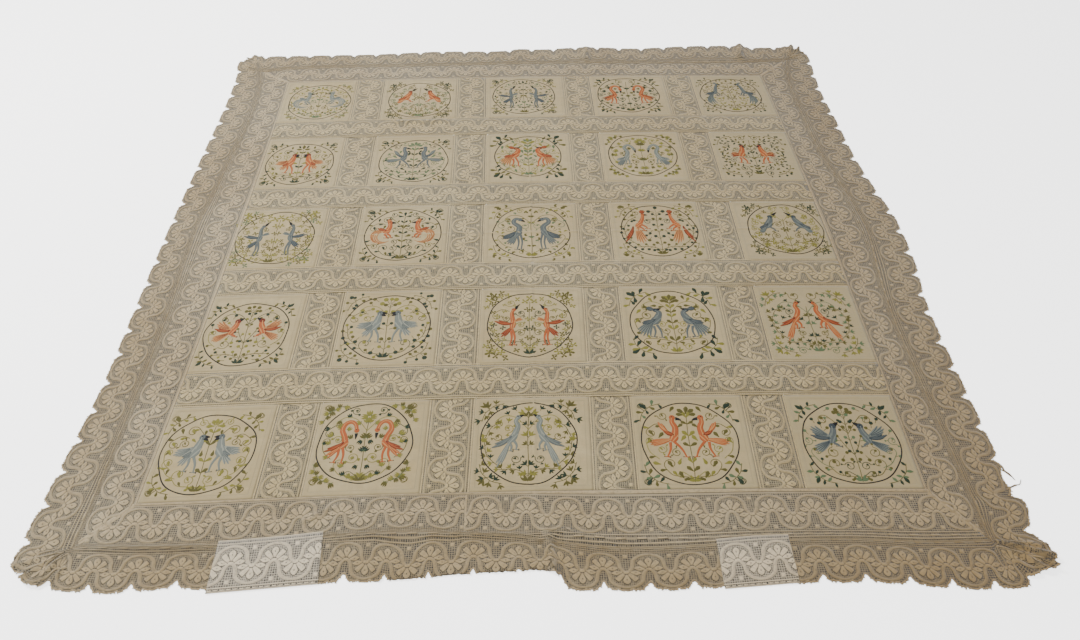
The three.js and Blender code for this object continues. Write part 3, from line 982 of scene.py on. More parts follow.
# Each ring: how far its middle is from the square's, right and back, and its radius.
RINGS = [
    [(5, -5, 112), (-2, -9, 113), (-8, 3, 114), (-7, 4, 113), (-7, 0, 110)],
    [(-5, -5, 112), (3, -5, 115), (-2, 9, 112), (-1, 6, 115), (-6, 3, 112)],
    [(-13, 3, 117), (-1, 1, 116), (1, 1, 117), (5, 2, 116), (13, 5, 113)],
    [(-9, -7, 112), (-5, 3, 118), (-7, 2, 116), (-2, 2, 115), (-6, 0, 113)],
    [(-9, -4, 111), (-11, 11, 113), (-9, 2, 116), (-7, -6, 116), (-1, -8, 114)],
]
RINGLESS = ((1, 4), (3, 4))

# Widths along a stitched shape, as shares of its widest place.
SHAPES = {
    "leaf": (0.12, 0.7, 1.0, 0.72, 0.08),
    "drop": (0.16, 0.42, 0.8, 1.0, 0.35),
    "body": (0.34, 0.82, 1.0, 0.94, 0.66, 0.3),
    "feather": (0.45, 0.8, 1.0, 0.9, 0.3),
    "beak": (1.0, 0.8, 0.55, 0.12),
}


def aim(degrees, length=1.0):
    """A step across the drawing, as a complex number: real is right, imaginary is back."""
    return length * np.exp(1j * np.radians(degrees))


def curve(points, count=0):
    """A smooth line through points of the drawing."""
    points = np.asarray(points, complex)
    line = smooth_line(np.column_stack([points.real, points.imag]), count or len(points) * 4)
    return line[:, 0] + 1j * line[:, 1]


def bent(start, degrees, length, bend, count=5):
    """A line that turns evenly by bend degrees over its length."""
    headings = degrees + bend * np.linspace(0, 1, count - 1)
    return start + np.concatenate([[0], np.cumsum(aim(headings, length / (count - 1)))])


def heading(line, index=-1):
    """Direction of a line at one of its points, in degrees."""
    index = index % len(line)
    step = line[min(index + 1, len(line) - 1)] - line[max(index - 1, 0)]
    return math.degrees(np.angle(step))


class Hoop:
    """The needlework of one square, in ring radii about the middle of its ring."""

    def __init__(self, row, column):
        left, right, _ = COLUMN_BANDS[column]
        back, front, _ = ROW_BANDS[row]
        across, down, self.radius = RINGS[row][column]
        self.middle = ((left + right) / 2 + across, (back + front) / 2 + down)
        self.work, self.threads, self.taken = Work(), [], [np.zeros(1, complex)]
        self.luck = np.random.default_rng(7 + 10 * row + column)

    def place(self, motif, thread, lift):
        if thread not in self.threads:
            self.threads.append(thread)
        u, v, height = motif.points.T
        points = lie_flat(self.middle[0] + u, self.middle[1] + v,
                          LINEN_TOP + STITCH_FOOT + lift + height)
        self.work.add(points, motif.faces, self.threads.index(thread), motif.tones,
                      motif.points * (1, 1, 0))

    def sides(self, line, both):
        for side in (1, -1) if both else (1,):
            line = np.asarray(line, complex)
            yield np.column_stack([line.real * side, line.imag]) * self.radius

    def stitch(self, line, width, thread, both=True, lift=0.0, shape=None):
        """A band of satin stitch along a line; width in millimetres."""
        if shape:
            width = width * spread_out(SHAPES[shape], len(line))
        self.taken.append(np.asarray(line, complex))
        for drawn in self.sides(line, both):
            self.place(tape(drawn, width, SATIN), thread, lift)

    def spot(self, at, radius, thread, both=True, lift=0.0, corners=7):
        """A round padded spot; radius in ring radii."""
        turn = aim(np.arange(corners) * 360 / corners)
        self.taken.append(at + turn * radius)
        for drawn in self.sides(at + np.zeros(1), both):
            outline = drawn[0] + np.column_stack([turn.real, turn.imag]) * radius * self.radius
            self.place(bead(outline, SATIN), thread, lift)

    def leaf(self, at, degrees, length, thread, fat=0.42, bend=0.0, both=True, shape="leaf",
             lift=0.02):
        line = bent(at, degrees, length, bend, 5)
        self.stitch(line, fat * length * self.radius, thread, both, lift, shape)

    def curl(self, points, size, turns, hand, thread, both=True, width=STEM_WIDTH):
        """A stem that ends in a spiral; gives its line and the spiral's middle."""
        stem = curve(points)
        last = stem[-1]
        middle = last + aim(heading(stem) + 90 * hand, size)
        part = np.linspace(0, 1, int(12 * turns) + 3)[1:]
        spiral = middle + (last - middle) * (1 - 0.72 * part) * aim(hand * 360 * turns * part)
        line = np.concatenate([stem, spiral])
        self.stitch(line, width, thread, both)
        return stem, middle

    def sprout(self, kind, at, degrees, size, thread, both=True):
        """One leaf, berry or flower of a plant."""
        degrees = degrees + self.luck.uniform(-7, 7)
        size = size * self.luck.uniform(0.88, 1.12)
        if kind in ("leaf", "drop"):
            self.leaf(at, degrees, size, thread, 0.56, self.luck.uniform(-22, 22), both, kind)
        elif kind == "berry":
            self.stitch(bent(at, degrees, size * 0.7, 10, 3), 1.4, "stem", both)
            self.spot(at + aim(degrees, size * 0.95), size * 0.35, thread, both, 0.02)
        elif kind == "bud":
            self.stitch(bent(at, degrees, size * 0.4, 0, 2), 1.8, "stem", both)
            for turn in (-34, 0, 34):
                self.leaf(at + aim(degrees, size * 0.3), degrees + turn, size * 0.75, thread, 0.40,
                          turn * 0.5, both)
        elif kind == "tulip":
            size = size * 0.8
            for turn in (-40, 40):
                self.leaf(at, degrees + turn, size, thread, 0.36, -turn * 1.1, both)
            self.leaf(at, degrees, size * 0.95, thread, 0.34, 0, both)
            for turn in (-52, 52):
                self.leaf(at, degrees + turn, size * 0.5, "sage", 0.28, turn * 1.6, both)
        elif kind == "cross":
            middle = at + aim(degrees, size * 0.5)
            for turn in (38, 142, 218, 322):
                self.leaf(middle, degrees + turn, size * 0.58, thread, 0.6, 0, both, "drop")
        elif kind == "crescent":
            root = at + aim(degrees, size * 0.4)
            self.leaf(root, degrees + 65, size * 0.95, thread, 0.5, -150, both, "body")

    def spray(self, points, kind, count, size, threads, both=True, spread=52, first=0.2):
        """A stem with sprouts to each side in turn and one at its tip."""
        line = curve(points, 14)
        self.stitch(line, STEM_WIDTH, "stem", both)
        self.grow(line, kind, count, size, threads, both, spread, first)
        self.sprout(kind, line[-1], heading(line), size, threads[0], both)

    def grow(self, line, kind, count, size, threads, both=True, spread=52, first=0.2):
        for k in range(count):
            index = int(mix(first, 0.94, k / max(count - 1, 1)) * (len(line) - 1))
            turn = spread if k % 2 else -spread
            self.sprout(kind, line[index], heading(line, index) + turn, size,
                        threads[k % len(threads)], both)

    def ring(self, thread="ring"):
        """The stem-stitched ring, a little out of round."""
        turn = np.linspace(0, 360, 97)
        phase = self.luck.uniform(0, 360, 3)
        out = 1.0 + sum(size * np.sin(np.radians(turn * number + shift)) for number, size, shift
                        in zip((3, 5, 9), (0.014, 0.011, 0.006), phase))
        self.stitch(aim(turn) * out, RING_WIDTH, thread, False, 0.04)

    def plant(self, kind, size, threads, top, pairs, crown, scrolls):
        """The plant in the middle: stem, pairs of sprouts, a fan at the top, and its scrolls."""
        if crown > 1:
            top = min(top, 0.88 - size * 1.25)
        stem = np.linspace(-0.95j, top * 1j, 18) + 0.012 * np.sin(np.linspace(0, 7, 18))
        self.stitch(stem, STEM_WIDTH, "stem", False)
        for number, height in enumerate(pairs):
            thread = threads[number % len(threads)]
            self.sprout(kind, height * 1j, 38 + 12 * (number % 2), size, thread)
        for part in np.linspace(-1, 1, crown) if crown > 1 else ():
            if part >= 0:
                turn = 90 - 78 * part
                tip = top * 1j + aim(turn, 0.03)
                self.sprout(kind, tip, turn, size * 1.2, threads[0], part > 0)
        for turn in (52, 18):
            self.leaf(-0.93j, turn, 0.17, threads[-1], 0.42, 20)
        for number, name in enumerate(scrolls):
            points, curl_size, turns, hand, leaves = SCROLLS[name]
            if curl_size:
                thread = threads[number % len(threads)]
                line, middle = self.curl(points, curl_size, turns, hand, thread)
                self.sprout(kind, middle - aim(60, size * 0.5), 60, size, threads[0])
                self.grow(line, kind, leaves, size * 0.85, threads)
            else:
                self.spray(points, kind, leaves, size * 0.9, threads)

    def corner(self, kind, size, threads, looped):
        """The four corner sprigs, each along the outside of the ring."""
        for flip in (1, -1):
            turned = (lambda line: np.asarray(line, complex) if flip > 0 else np.conj(line))
            for points in ((0.83 + 0.84j, 0.72 + 0.93j, 0.52 + 0.985j),
                           (0.84 + 0.83j, 0.93 + 0.72j, 0.985 + 0.52j)):
                line = curve(turned(points), 10)
                self.stitch(line, STEM_WIDTH, "stem")
                self.grow(line, kind, 4, size, threads[::flip], True, 62, 0.1)
            if looped:
                for points, hand in (((0.80 + 0.87j, 0.90 + 0.97j), -1),
                                     ((0.87 + 0.80j, 0.97 + 0.90j), 1)):
                    self.curl(turned(points), 0.075, 1.0, hand * flip, threads[0])
            self.sprout(kind, turned([0.84 + 0.84j])[0], 45 * flip, size * 1.3, threads[0])

    def room(self, spots, lines):
        """How far each spot is from the nearest stitching."""
        return np.abs(spots[:, None] - np.concatenate(lines)).min(1)

    def fill(self, kind, size, threads, ringed):
        """Curls and sprigs in the widest gaps left inside the ring and in the corners."""
        steps = np.linspace(-1.0, 1.0, 49)
        spots = np.array([complex(x, y) for x in steps if x > 0.05 for y in steps])
        cornered = spots.real + np.abs(spots.imag) > 1.56
        spots = spots[(np.abs(spots) < 0.93) | (not ringed) | cornered]
        room = np.minimum(self.room(spots, self.taken), spots.real)
        room = np.minimum(room, 1.08 - np.maximum(spots.real, np.abs(spots.imag)))
        for number in range(FILL_MOST):
            gap, at = room.max(), spots[room.argmax()]
            if gap < size * 0.44 + 0.03:
                break
            before = len(self.taken)
            thread = threads[number % len(threads)]
            if gap > CURL_GAP:
                self.scroll(kind, at, min(gap * 0.66, 0.125), 1 if number % 2 else -1, size, thread)
            else:
                turn = self.luck.uniform(-70, 70) + (90 if at.imag > 0 else -40)
                length = min(size, gap * 1.7)
                self.sprout(kind, at - aim(turn, length * 0.45), turn, length, thread)
            room = np.minimum(room, self.room(spots, self.taken[before:]))
            room[np.abs(spots - at) < gap * 0.6] = 0

    def scroll(self, kind, at, radius, hand, size, thread):
        """A curl about a point, with a sprout in its middle and leaves on its outside."""
        part = np.linspace(0, 1, 17)
        turn = self.luck.uniform(0, 360)
        line = at + aim(turn + hand * 400 * part, radius * (1.12 - 0.62 * part))
        self.stitch(line, STEM_WIDTH, thread)
        self.sprout(kind, at - aim(60, radius * 0.3), 60, min(size, radius * 0.95), thread)
        for index in (0, 5):
            self.sprout(kind, line[index], heading(line, index) - 110 * hand,
                        min(size, radius * 0.8), thread)

    def feather(self, line, width, threads, tint, lift):
        """One feather, with a narrower stripe of another thread along it."""
        self.stitch(line, width, threads[tint], True, lift, "feather")
        stripe = threads[FEATHER_STRIPES[tint]]
        self.stitch(line[1:], width * 0.3, stripe, True, lift + 0.16, "feather")

    def bird(self, posture, threads):
        """One bird and its mirror image; threads are its main, light and dark ones."""
        chest, rump, width, neck, head, size, beaks, wings, tail, legs = POSTURES[posture]
        main, light, dark = threads
        mm = self.radius
        for hip, foot in legs:
            knee = (hip + foot) / 2 - 0.035
            self.stitch(curve([hip, knee, foot], 8), np.linspace(8.0, 3.6, 8), main, True, 0.06)
            for turn in (172, 196, 8):
                self.leaf(foot, turn, 0.06, main, 0.3, 0, True, "feather", 0.1)
                self.spot(foot + aim(turn, 0.062), 0.013, "ink", True, 0.16, 6)
        angle, spread, count, length, bend, tint = tail
        for part in np.linspace(-1, 1, count):
            line = bent(mix(chest, rump, 0.7), angle + spread * part,
                        length * (1 - 0.16 * abs(part)) + 0.3 * abs(rump - chest), bend, 9)
            slim = 0.04 if abs(bend) > 100 else 0.07
            self.feather(line, mm * slim, threads, tint, 0.08)
        back = curve([chest, (chest + rump) / 2 - 0.02j, rump], 9)
        self.stitch(back, mm * width, main, True, 0.16, "body")
        for share in (-0.3, 0.22):
            shift = aim(heading(np.array([chest, rump])) + 90, width * share)
            stripe = curve([chest + shift, rump + shift * 0.5], 7)
            self.stitch(stripe, mm * width * 0.2, light, True, 0.3, "feather")
        if neck:
            line = curve([mix(chest, rump, 0.25), *neck, head], 14)
            self.stitch(line, mm * np.linspace(width * 0.8, size * 1.25, 14), main, True, 0.2)
            shine = line + aim(heading(line, 6) - 90, size * 0.2)
            self.stitch(shine, mm * size * 0.34, light, True, 0.34)
        for root, angle, spread, count, length, tint in wings:
            for part in np.linspace(-1, 1, count):
                line = bent(root, angle + spread * part, length * (1 - 0.2 * abs(part)), 24, 7)
                self.feather(line, mm * 0.075, threads, tint, 0.32)
        self.spot(head, size * 0.95, dark if posture in HOODED else main, True, 0.3, 10)
        self.spot(head + 0.012 + 0.018j, 0.017, "ink", True, 0.62, 6)
        for tip, bend in beaks:
            step = tip - head
            turn = np.degrees(np.angle(step)) - bend / 2
            line = bent(head + step * 0.35, turn, abs(step) * 0.7, bend, 5)
            self.stitch(line, mm * size * 1.2, "ink", True, 0.5, "beak")


# The stripe's thread for each feather's: main, light, dark.
FEATHER_STRIPES = (1, 2, 0)
FILL_MOST = 22
CURL_GAP = 0.125

# Scrolls of the plants, drawn on the right: points, size and turns of the curl, hand, sprouts.
SCROLLS = {
    "low": ((-0.84j, 0.2 - 0.82j, 0.42 - 0.78j, 0.56 - 0.62j), 0.15, 0.9, 1, 3),
    "low_wide": ((-0.70j, 0.14 - 0.60j, 0.34 - 0.55j, 0.62 - 0.52j), 0.13, 1.0, -1, 4),
    "foot": ((-0.90j, 0.10 - 0.80j, 0.2 - 0.72j), 0.085, 1.0, -1, 1),
    "high": ((0.22j, 0.16 + 0.44j, 0.34 + 0.66j), 0.14, 1.0, -1, 3),
    "high_out": ((0.30j, 0.25 + 0.60j, 0.5 + 0.66j, 0.66 + 0.56j), 0.11, 0.9, -1, 3),
    "side": ((0.50 - 0.62j, 0.70 - 0.52j, 0.86 - 0.30j), 0.13, 1.0, 1, 3),
    "side_high": ((0.48 + 0.40j, 0.66 + 0.46j, 0.84 + 0.34j), 0.12, 1.0, -1, 2),
    "side_mid": ((0.66 - 0.40j, 0.84 - 0.22j, 0.90 + 0.02j), 0.10, 0.9, 1, 2),
    "spray_low": ((-0.78j, 0.26 - 0.66j, 0.56 - 0.66j), 0, 0, 1, 6),
    "spray_side": ((0.62 - 0.56j, 0.84 - 0.32j, 0.90 - 0.04j), 0, 0, 1, 6),
    "spray_high": ((0.20j, 0.22 + 0.52j, 0.46 + 0.74j), 0, 0, 1, 5),
    "spray_out": ((0.60 + 0.50j, 0.78 + 0.36j, 0.88 + 0.14j), 0, 0, 1, 4),
    "spray_mid": ((-0.30j, 0.12 - 0.12j, 0.20 + 0.06j), 0, 0, 1, 3),
}

# Postures of the right-hand bird, which looks left: chest, rump, width; neck; head and its size;
# beaks (tip, bend); wings (root, bearing, spread, feathers, length, thread);
# tail (bearing, spread, feathers, length, bend, thread); legs (hip, foot).
POSTURES = {
    "duck": (0.22 + 0.17j, 0.37 - 0.10j, 0.25, (0.22 + 0.29j,), 0.20 + 0.41j, 0.085,
             ((0.05 + 0.41j, 16), (0.07 + 0.33j, -10)),
             ((0.34 + 0.16j, -38, 16, 5, 0.42, 1), (0.34 + 0.04j, -54, 8, 2, 0.26, 2)),
             (-50, 12, 3, 0.26, -6, 1),
             ((0.26 - 0.08j, 0.16 - 0.48j), (0.34 - 0.12j, 0.38 - 0.44j))),
    "flamingo": (0.38 + 0.05j, 0.54 - 0.14j, 0.17,
                 (0.46 + 0.16j, 0.53 + 0.33j, 0.48 + 0.49j, 0.36 + 0.54j, 0.26 + 0.46j),
                 0.22 + 0.31j, 0.062, ((0.22 + 0.09j, 8),), ((0.44 + 0.02j, -42, 5, 3, 0.46, 2),),
                 (-46, 6, 2, 0.36, 4, 0),
                 ((0.46 - 0.10j, 0.43 - 0.50j), (0.53 - 0.15j, 0.60 - 0.48j))),
    "percher": (0.24 + 0.24j, 0.42 - 0.03j, 0.17, (0.22 + 0.38j, 0.26 + 0.52j), 0.21 + 0.62j,
                0.062, ((0.09 + 0.66j, 50),), ((0.34 + 0.14j, -46, 6, 3, 0.50, 2),),
                (-70, 5, 3, 0.62, 4, 0),
                ((0.29 + 0.02j, 0.25 - 0.19j), (0.38 - 0.03j, 0.37 - 0.22j))),
    "strider": (0.26 + 0.21j, 0.38 + 0.02j, 0.19, (0.26 + 0.36j, 0.31 + 0.50j), 0.30 + 0.62j, 0.07,
                ((0.11 + 0.53j, 44),),
                ((0.30 + 0.18j, 14, 8, 3, 0.24, 2), (0.42 + 0.25j, 42, 7, 3, 0.32, 0)),
                (-14, 9, 4, 0.44, 4, 0),
                ((0.32 + 0.02j, 0.10 - 0.36j), (0.40 + 0.0j, 0.49 - 0.35j))),
    "flyer": (0.32 + 0.22j, 0.42 - 0.02j, 0.2, (0.30 + 0.30j,), 0.29 + 0.41j, 0.082,
              ((0.16 + 0.50j, 4),),
              ((0.40 + 0.16j, 18, 14, 4, 0.46, 1), (0.40 + 0.10j, 0, 8, 3, 0.42, 2)),
              (-36, 13, 5, 0.40, 6, 1), ((0.36 - 0.02j, 0.26 - 0.10j),)),
    "stork": (0.38 + 0.12j, 0.42 - 0.18j, 0.15, (0.41 + 0.22j, 0.42 + 0.34j), 0.38 + 0.45j, 0.055,
              ((0.24 + 0.62j, 6), (0.28 + 0.52j, -8)),
              ((0.40 + 0.00j, 0, 7, 3, 0.44, 2), (0.36 + 0.06j, 138, 8, 2, 0.26, 1)),
              (-54, 9, 3, 0.32, 6, 2),
              ((0.40 - 0.18j, 0.36 - 0.66j), (0.44 - 0.22j, 0.46 - 0.67j))),
    "crested": (0.30 + 0.18j, 0.50 - 0.08j, 0.24, (0.29 + 0.29j,), 0.37 + 0.38j, 0.07,
                ((0.24 + 0.43j, 6),),
                ((0.40 + 0.08j, -34, 10, 4, 0.38, 2), (0.40 + 0.41j, 2, 20, 4, 0.20, 2)),
                (-40, 22, 6, 0.46, -26, 1),
                ((0.38 - 0.10j, 0.30 - 0.50j), (0.46 - 0.14j, 0.48 - 0.48j))),
    "curly": (0.36 + 0.20j, 0.52 + 0.08j, 0.2, (0.36 + 0.32j,), 0.37 + 0.47j, 0.075,
              ((0.21 + 0.44j, 36),),
              ((0.44 + 0.16j, 10, 10, 3, 0.26, 2), (0.38 + 0.50j, 60, 24, 3, 0.12, 0)),
              (8, 24, 6, 0.86, -190, 1),
              ((0.40 + 0.02j, 0.32 - 0.12j), (0.48 + 0.0j, 0.42 - 0.14j))),
    "heron": (0.29 + 0.08j, 0.42 - 0.18j, 0.21, (0.32 + 0.20j, 0.46 + 0.36j, 0.41 + 0.51j),
              0.29 + 0.48j, 0.07, ((0.17 + 0.38j, 26),), ((0.40 + 0.00j, -50, 12, 5, 0.46, 2),),
              (-64, 14, 4, 0.38, 4, 0),
              ((0.28 - 0.12j, 0.27 - 0.68j), (0.36 - 0.18j, 0.37 - 0.68j))),
    "peafowl": (0.42 + 0.30j, 0.60 + 0.14j, 0.16, (0.39 + 0.44j,), 0.36 + 0.62j, 0.06,
                ((0.24 + 0.59j, 24),),
                ((0.37 + 0.67j, 84, 34, 4, 0.15, 2), (0.66 + 0.14j, -80, 4, 3, 0.66, 2)),
                (-92, 12, 5, 0.66, -12, 1),
                ((0.44 + 0.22j, 0.28 + 0.04j), (0.50 + 0.14j, 0.38 - 0.04j))),
    "kingfisher": (0.35 + 0.31j, 0.54 + 0.01j, 0.24, (0.33 + 0.40j,), 0.32 + 0.49j, 0.078,
                   ((0.11 + 0.67j, 2),), ((0.44 + 0.20j, -50, 8, 4, 0.34, 2),),
                   (-52, 10, 4, 0.24, 0, 0), ((0.42 + 0.06j, 0.27 - 0.10j),)),
    "swan": (0.42 + 0.04j, 0.54 - 0.26j, 0.17,
             (0.42 + 0.16j, 0.50 + 0.36j, 0.40 + 0.50j, 0.28 + 0.43j), 0.21 + 0.28j, 0.06,
             ((0.19 + 0.11j, 8),), ((0.48 - 0.08j, -42, 10, 4, 0.36, 1),),
             (-52, 12, 4, 0.32, -6, 2),
             ((0.46 - 0.16j, 0.42 - 0.42j), (0.52 - 0.18j, 0.54 - 0.42j))),
    "hen": (0.30 + 0.16j, 0.40 - 0.08j, 0.25, (0.28 + 0.30j,), 0.27 + 0.44j, 0.075,
            ((0.17 + 0.38j, 20),), ((0.38 + 0.04j, 6, 16, 4, 0.26, 1),), (16, 22, 4, 0.24, -20, 2),
            ((0.34 - 0.12j, 0.24 - 0.42j), (0.42 - 0.12j, 0.44 - 0.38j))),
    "plumed": (0.42 + 0.34j, 0.60 + 0.02j, 0.16, (0.42 + 0.48j,), 0.35 + 0.65j, 0.06,
               ((0.23 + 0.62j, 24),),
               ((0.52 + 0.18j, -36, 12, 3, 0.36, 2), (0.36 + 0.68j, 30, 10, 2, 0.14, 0)),
               (-52, 13, 5, 0.66, -54, 1),
               ((0.46 + 0.18j, 0.36 - 0.02j), (0.50 + 0.12j, 0.46 - 0.06j))),
}
HOODED = ("flyer", "kingfisher", "hen", "crested", "duck")

CORAL = ("coral", "peach", "rust")
BLUE = ("blue", "sky", "deep_blue")
PALE = ("sky", "ice", "blue")
DARK_LEAF = ("pine", "olive")
LIGHT_LEAF = ("leaf", "olive", "sage")

# Each square: posture and threads; plant (kind, size, threads, top, pairs, fan, scrolls);
# corners (kind, size, threads, looped).
SQUARES = [
    [("curly", PALE,
      ("leaf", 0.13, LIGHT_LEAF, 0.8, (-0.6, -0.3, 0.1, 0.5), 3,
       ("spray_low", "spray_high", "low", "spray_side")),
      ("cross", 0.10, LIGHT_LEAF, False)),
     ("kingfisher", CORAL,
      ("cross", 0.15, ("olive", "sage"), 0.72, (-0.7, -0.35, 0.1), 1,
       ("low", "side_high", "side", "foot")),
      ("cross", 0.15, DARK_LEAF, False)),
     ("stork", BLUE,
      ("leaf", 0.12, ("pine", "sage", "olive"), 0.8, (-0.7, -0.4, 0, 0.35), 3,
       ("low_wide", "spray_side", "side_high")),
      ("cross", 0.11, ("pine", "leaf"), True)),
     ("flamingo", CORAL,
      ("tulip", 0.14, DARK_LEAF, 0.8, (-0.55, -0.1, 0.35), 1,
       ("foot", "side", "side_high", "high_out")),
      ("leaf", 0.13, DARK_LEAF, False)),
     ("plumed", BLUE,
      ("berry", 0.12, ("olive", "leaf"), 0.7, (-0.7, -0.5, -0.2, 0.1, 0.4), 3,
       ("spray_low", "spray_high", "spray_mid", "side")),
      ("berry", 0.10, DARK_LEAF, False))],
    [("duck", CORAL,
      ("leaf", 0.15, ("olive", "leaf", "pine"), 0.74, (-0.8, -0.5, -0.2, 0.5), 3,
       ("low_wide", "side", "high")),
      ("leaf", 0.12, DARK_LEAF, True)),
     ("strider", BLUE,
      ("drop", 0.14, ("sage", "pine"), 0.78, (-0.6, -0.3, 0, 0.25, 0.5), 5,
       ("low", "low_wide", "side_mid")),
      ("drop", 0.12, DARK_LEAF, True)),
     ("crested", CORAL,
      ("drop", 0.17, ("leaf", "sage"), 0.84, (-0.5, -0.2, 0.0, 0.15, 0.3, 0.45, 0.6, 0.72), 3,
       ("low", "side", "high_out")),
      ("drop", 0.18, ("pine", "olive"), False)),
     ("swan", PALE,
      ("tulip", 0.19, ("leaf", "olive"), 0.74, (-0.66, -0.25, 0.2, 0.5), 3,
       ("low", "side_high", "side_mid")),
      ("tulip", 0.13, ("leaf", "olive"), False)),
     ("hen", CORAL,
      ("leaf", 0.13, ("pine", "olive"), 0.76, (-0.85, -0.72, -0.58, -0.2, 0.1, 0.4), 1,
       ("spray_side", "spray_high", "spray_out")),
      ("berry", 0.11, DARK_LEAF, False))],
    [("stork", BLUE,
      ("cross", 0.15, ("leaf", "olive"), 0.8, (-0.75, -0.5, -0.2, 0.1, 0.4), 3,
       ("spray_side", "side_high", "low_wide")),
      ("cross", 0.16, LIGHT_LEAF, False)),
     ("curly", CORAL,
      ("drop", 0.14, ("pine", "olive"), 0.86, (-0.55, -0.3, 0.0, 0.25, 0.45), 3,
       ("low", "high", "foot", "side_high")),
      ("drop", 0.12, DARK_LEAF, True)),
     ("heron", BLUE,
      ("crescent", 0.13, ("olive", "sage", "leaf"), 0.72, (-0.62, -0.3, 0.3, 0.52), 3,
       ("side", "side_high", "foot", "high_out")),
      ("crescent", 0.15, ("olive", "leaf"), False)),
     ("peafowl", CORAL,
      ("berry", 0.14, ("pine", "olive"), 0.78, (-0.85, -0.6, -0.35, -0.1, 0.12, 0.35, 0.55), 3,
       ("spray_low", "spray_side", "spray_out")),
      ("berry", 0.12, ("olive", "leaf"), True)),
     ("kingfisher", BLUE,
      ("cross", 0.16, ("leaf", "olive"), 0.4, (-0.45, -0.1), 1,
       ("low", "low_wide", "high_out", "side", "foot")),
      ("cross", 0.13, DARK_LEAF, False))],
    [("flyer", CORAL,
      ("berry", 0.13, ("olive", "leaf", "pine"), 0.8, (-0.75, -0.5, -0.32, 0.2, 0.42, 0.55, 0.68),
       5, ("spray_low", "side_mid", "high_out", "spray_mid")),
      ("leaf", 0.12, DARK_LEAF, False)),
     ("duck", PALE,
      ("berry", 0.15, ("leaf", "olive", "pine"), 0.8, (-0.7, -0.5, 0.0, 0.35, 0.6), 5,
       ("high_out", "side_high", "low", "spray_side")),
      ("berry", 0.13, DARK_LEAF, False)),
     ("stork", CORAL,
      ("cross", 0.14, ("leaf", "olive", "pine"), 0.8, (-0.8, -0.5, -0.2, 0.1, 0.4), 3,
       ("spray_side", "side_high", "low_wide")),
      ("cross", 0.15, ("olive", "leaf"), False)),
     ("crested", BLUE,
      ("drop", 0.17, ("olive", "leaf"), 0.86, (-0.6, -0.25, -0.05, 0.15, 0.3, 0.45, 0.6, 0.72), 5,
       ("low_wide", "high_out", "side_mid")),
      ("drop", 0.18, ("pine", "leaf"), False)),
     ("percher", CORAL,
      ("bud", 0.15, ("olive", "pine", "sage"), 0.5, (-0.75, -0.5, -0.1, 0.15), 1,
       ("spray_low", "spray_side", "high_out", "spray_out")),
      ("bud", 0.15, ("leaf", "sage"), False))],
    [("duck", PALE,
      ("drop", 0.15, ("leaf", "olive"), 0.76, (-0.92, -0.5, -0.22, 0.2, 0.52), 5,
       ("low", "high", "side", "side_high", "side_mid")),
      ("drop", 0.13, ("olive", "leaf"), True)),
     ("flamingo", CORAL,
      ("tulip", 0.18, ("leaf", "pine", "olive"), 0.7, (-0.85, -0.22, 0.12, 0.52), 3,
       ("low", "side_high", "side_mid", "high_out", "foot")),
      ("tulip", 0.16, ("olive", "leaf"), True)),
     ("percher", PALE,
      ("bud", 0.16, ("leaf", "pine", "olive"), 0.76, (-0.82, -0.6, -0.1, 0.1, 0.4, 0.6), 3,
       ("spray_low", "spray_side", "spray_out", "high_out")),
      ("bud", 0.16, ("olive", "pine"), False)),
     ("strider", CORAL,
      ("drop", 0.16, ("olive", "leaf"), 0.84, (-0.7, -0.5, -0.1, 0.15, 0.45, 0.62), 5,
       ("low", "foot", "side_high", "side_mid")),
      ("drop", 0.14, ("pine", "olive", "sage"), True)),
     ("flyer", BLUE,
      ("berry", 0.13, ("olive", "pine", "sage"), 0.8, (-0.5, -0.3, 0.05, 0.28, 0.45, 0.6, 0.7), 5,
       ("low", "foot", "side", "high", "spray_mid")),
      ("leaf", 0.13, ("pine", "sage"), False))],
]


def needlework(row, column):
    """All the stitching of one square."""
    hoop = Hoop(row, column)
    posture, threads, plant, corner = SQUARES[row][column]
    hoop.plant(*plant)
    hoop.corner(*corner)
    if (row, column) not in RINGLESS:
        hoop.ring()
    hoop.bird(posture, threads)
    kind, size, threads = plant[:3]
    hoop.fill(kind, min(size, 0.16), threads, (row, column) not in RINGLESS)
    return hoop


# ------------------------------------------------------------------ finishes

class Socket:
    """A node's output in plain arithmetic: each step on values adds one Math node."""

    def __init__(self, bench, source):
        self.bench, self.source = bench, source

    def _math(self, operation, *values):
        return self.bench.add("ShaderNodeMath", {"operation": operation}, dict(enumerate(values)))

    def __add__(self, other):
        return self._math("ADD", self, other)

    def __radd__(self, other):
        return self._math("ADD", other, self)

    def __sub__(self, other):
        return self._math("SUBTRACT", self, other)

    def __rsub__(self, other):
        return self._math("SUBTRACT", other, self)

    def __mul__(self, other):
        return self._math("MULTIPLY", self, other)

    def __rmul__(self, other):
        return self._math("MULTIPLY", other, self)

    def __truediv__(self, other):
        return self._math("DIVIDE", self, other)

    def __lt__(self, other):
        return self._math("LESS_THAN", self, other)

    def __gt__(self, other):
        return self._math("GREATER_THAN", self, other)

    def __abs__(self):
        return self._math("ABSOLUTE", self)

    def fract(self):
        return self._math("FRACT", self)

    def sine(self):
        return self._math("SINE", self)

    def larger(self, other):
        return self._math("MAXIMUM", self, other)


def srgb(colour):
    """The linear colour, with its alpha, of a colour given as it is seen."""
    linear = [c / 12.92 if c <= 0.04045 else ((c + 0.055) / 1.055) ** 2.4 for c in colour[:3]]
    return (*linear, 1.0)


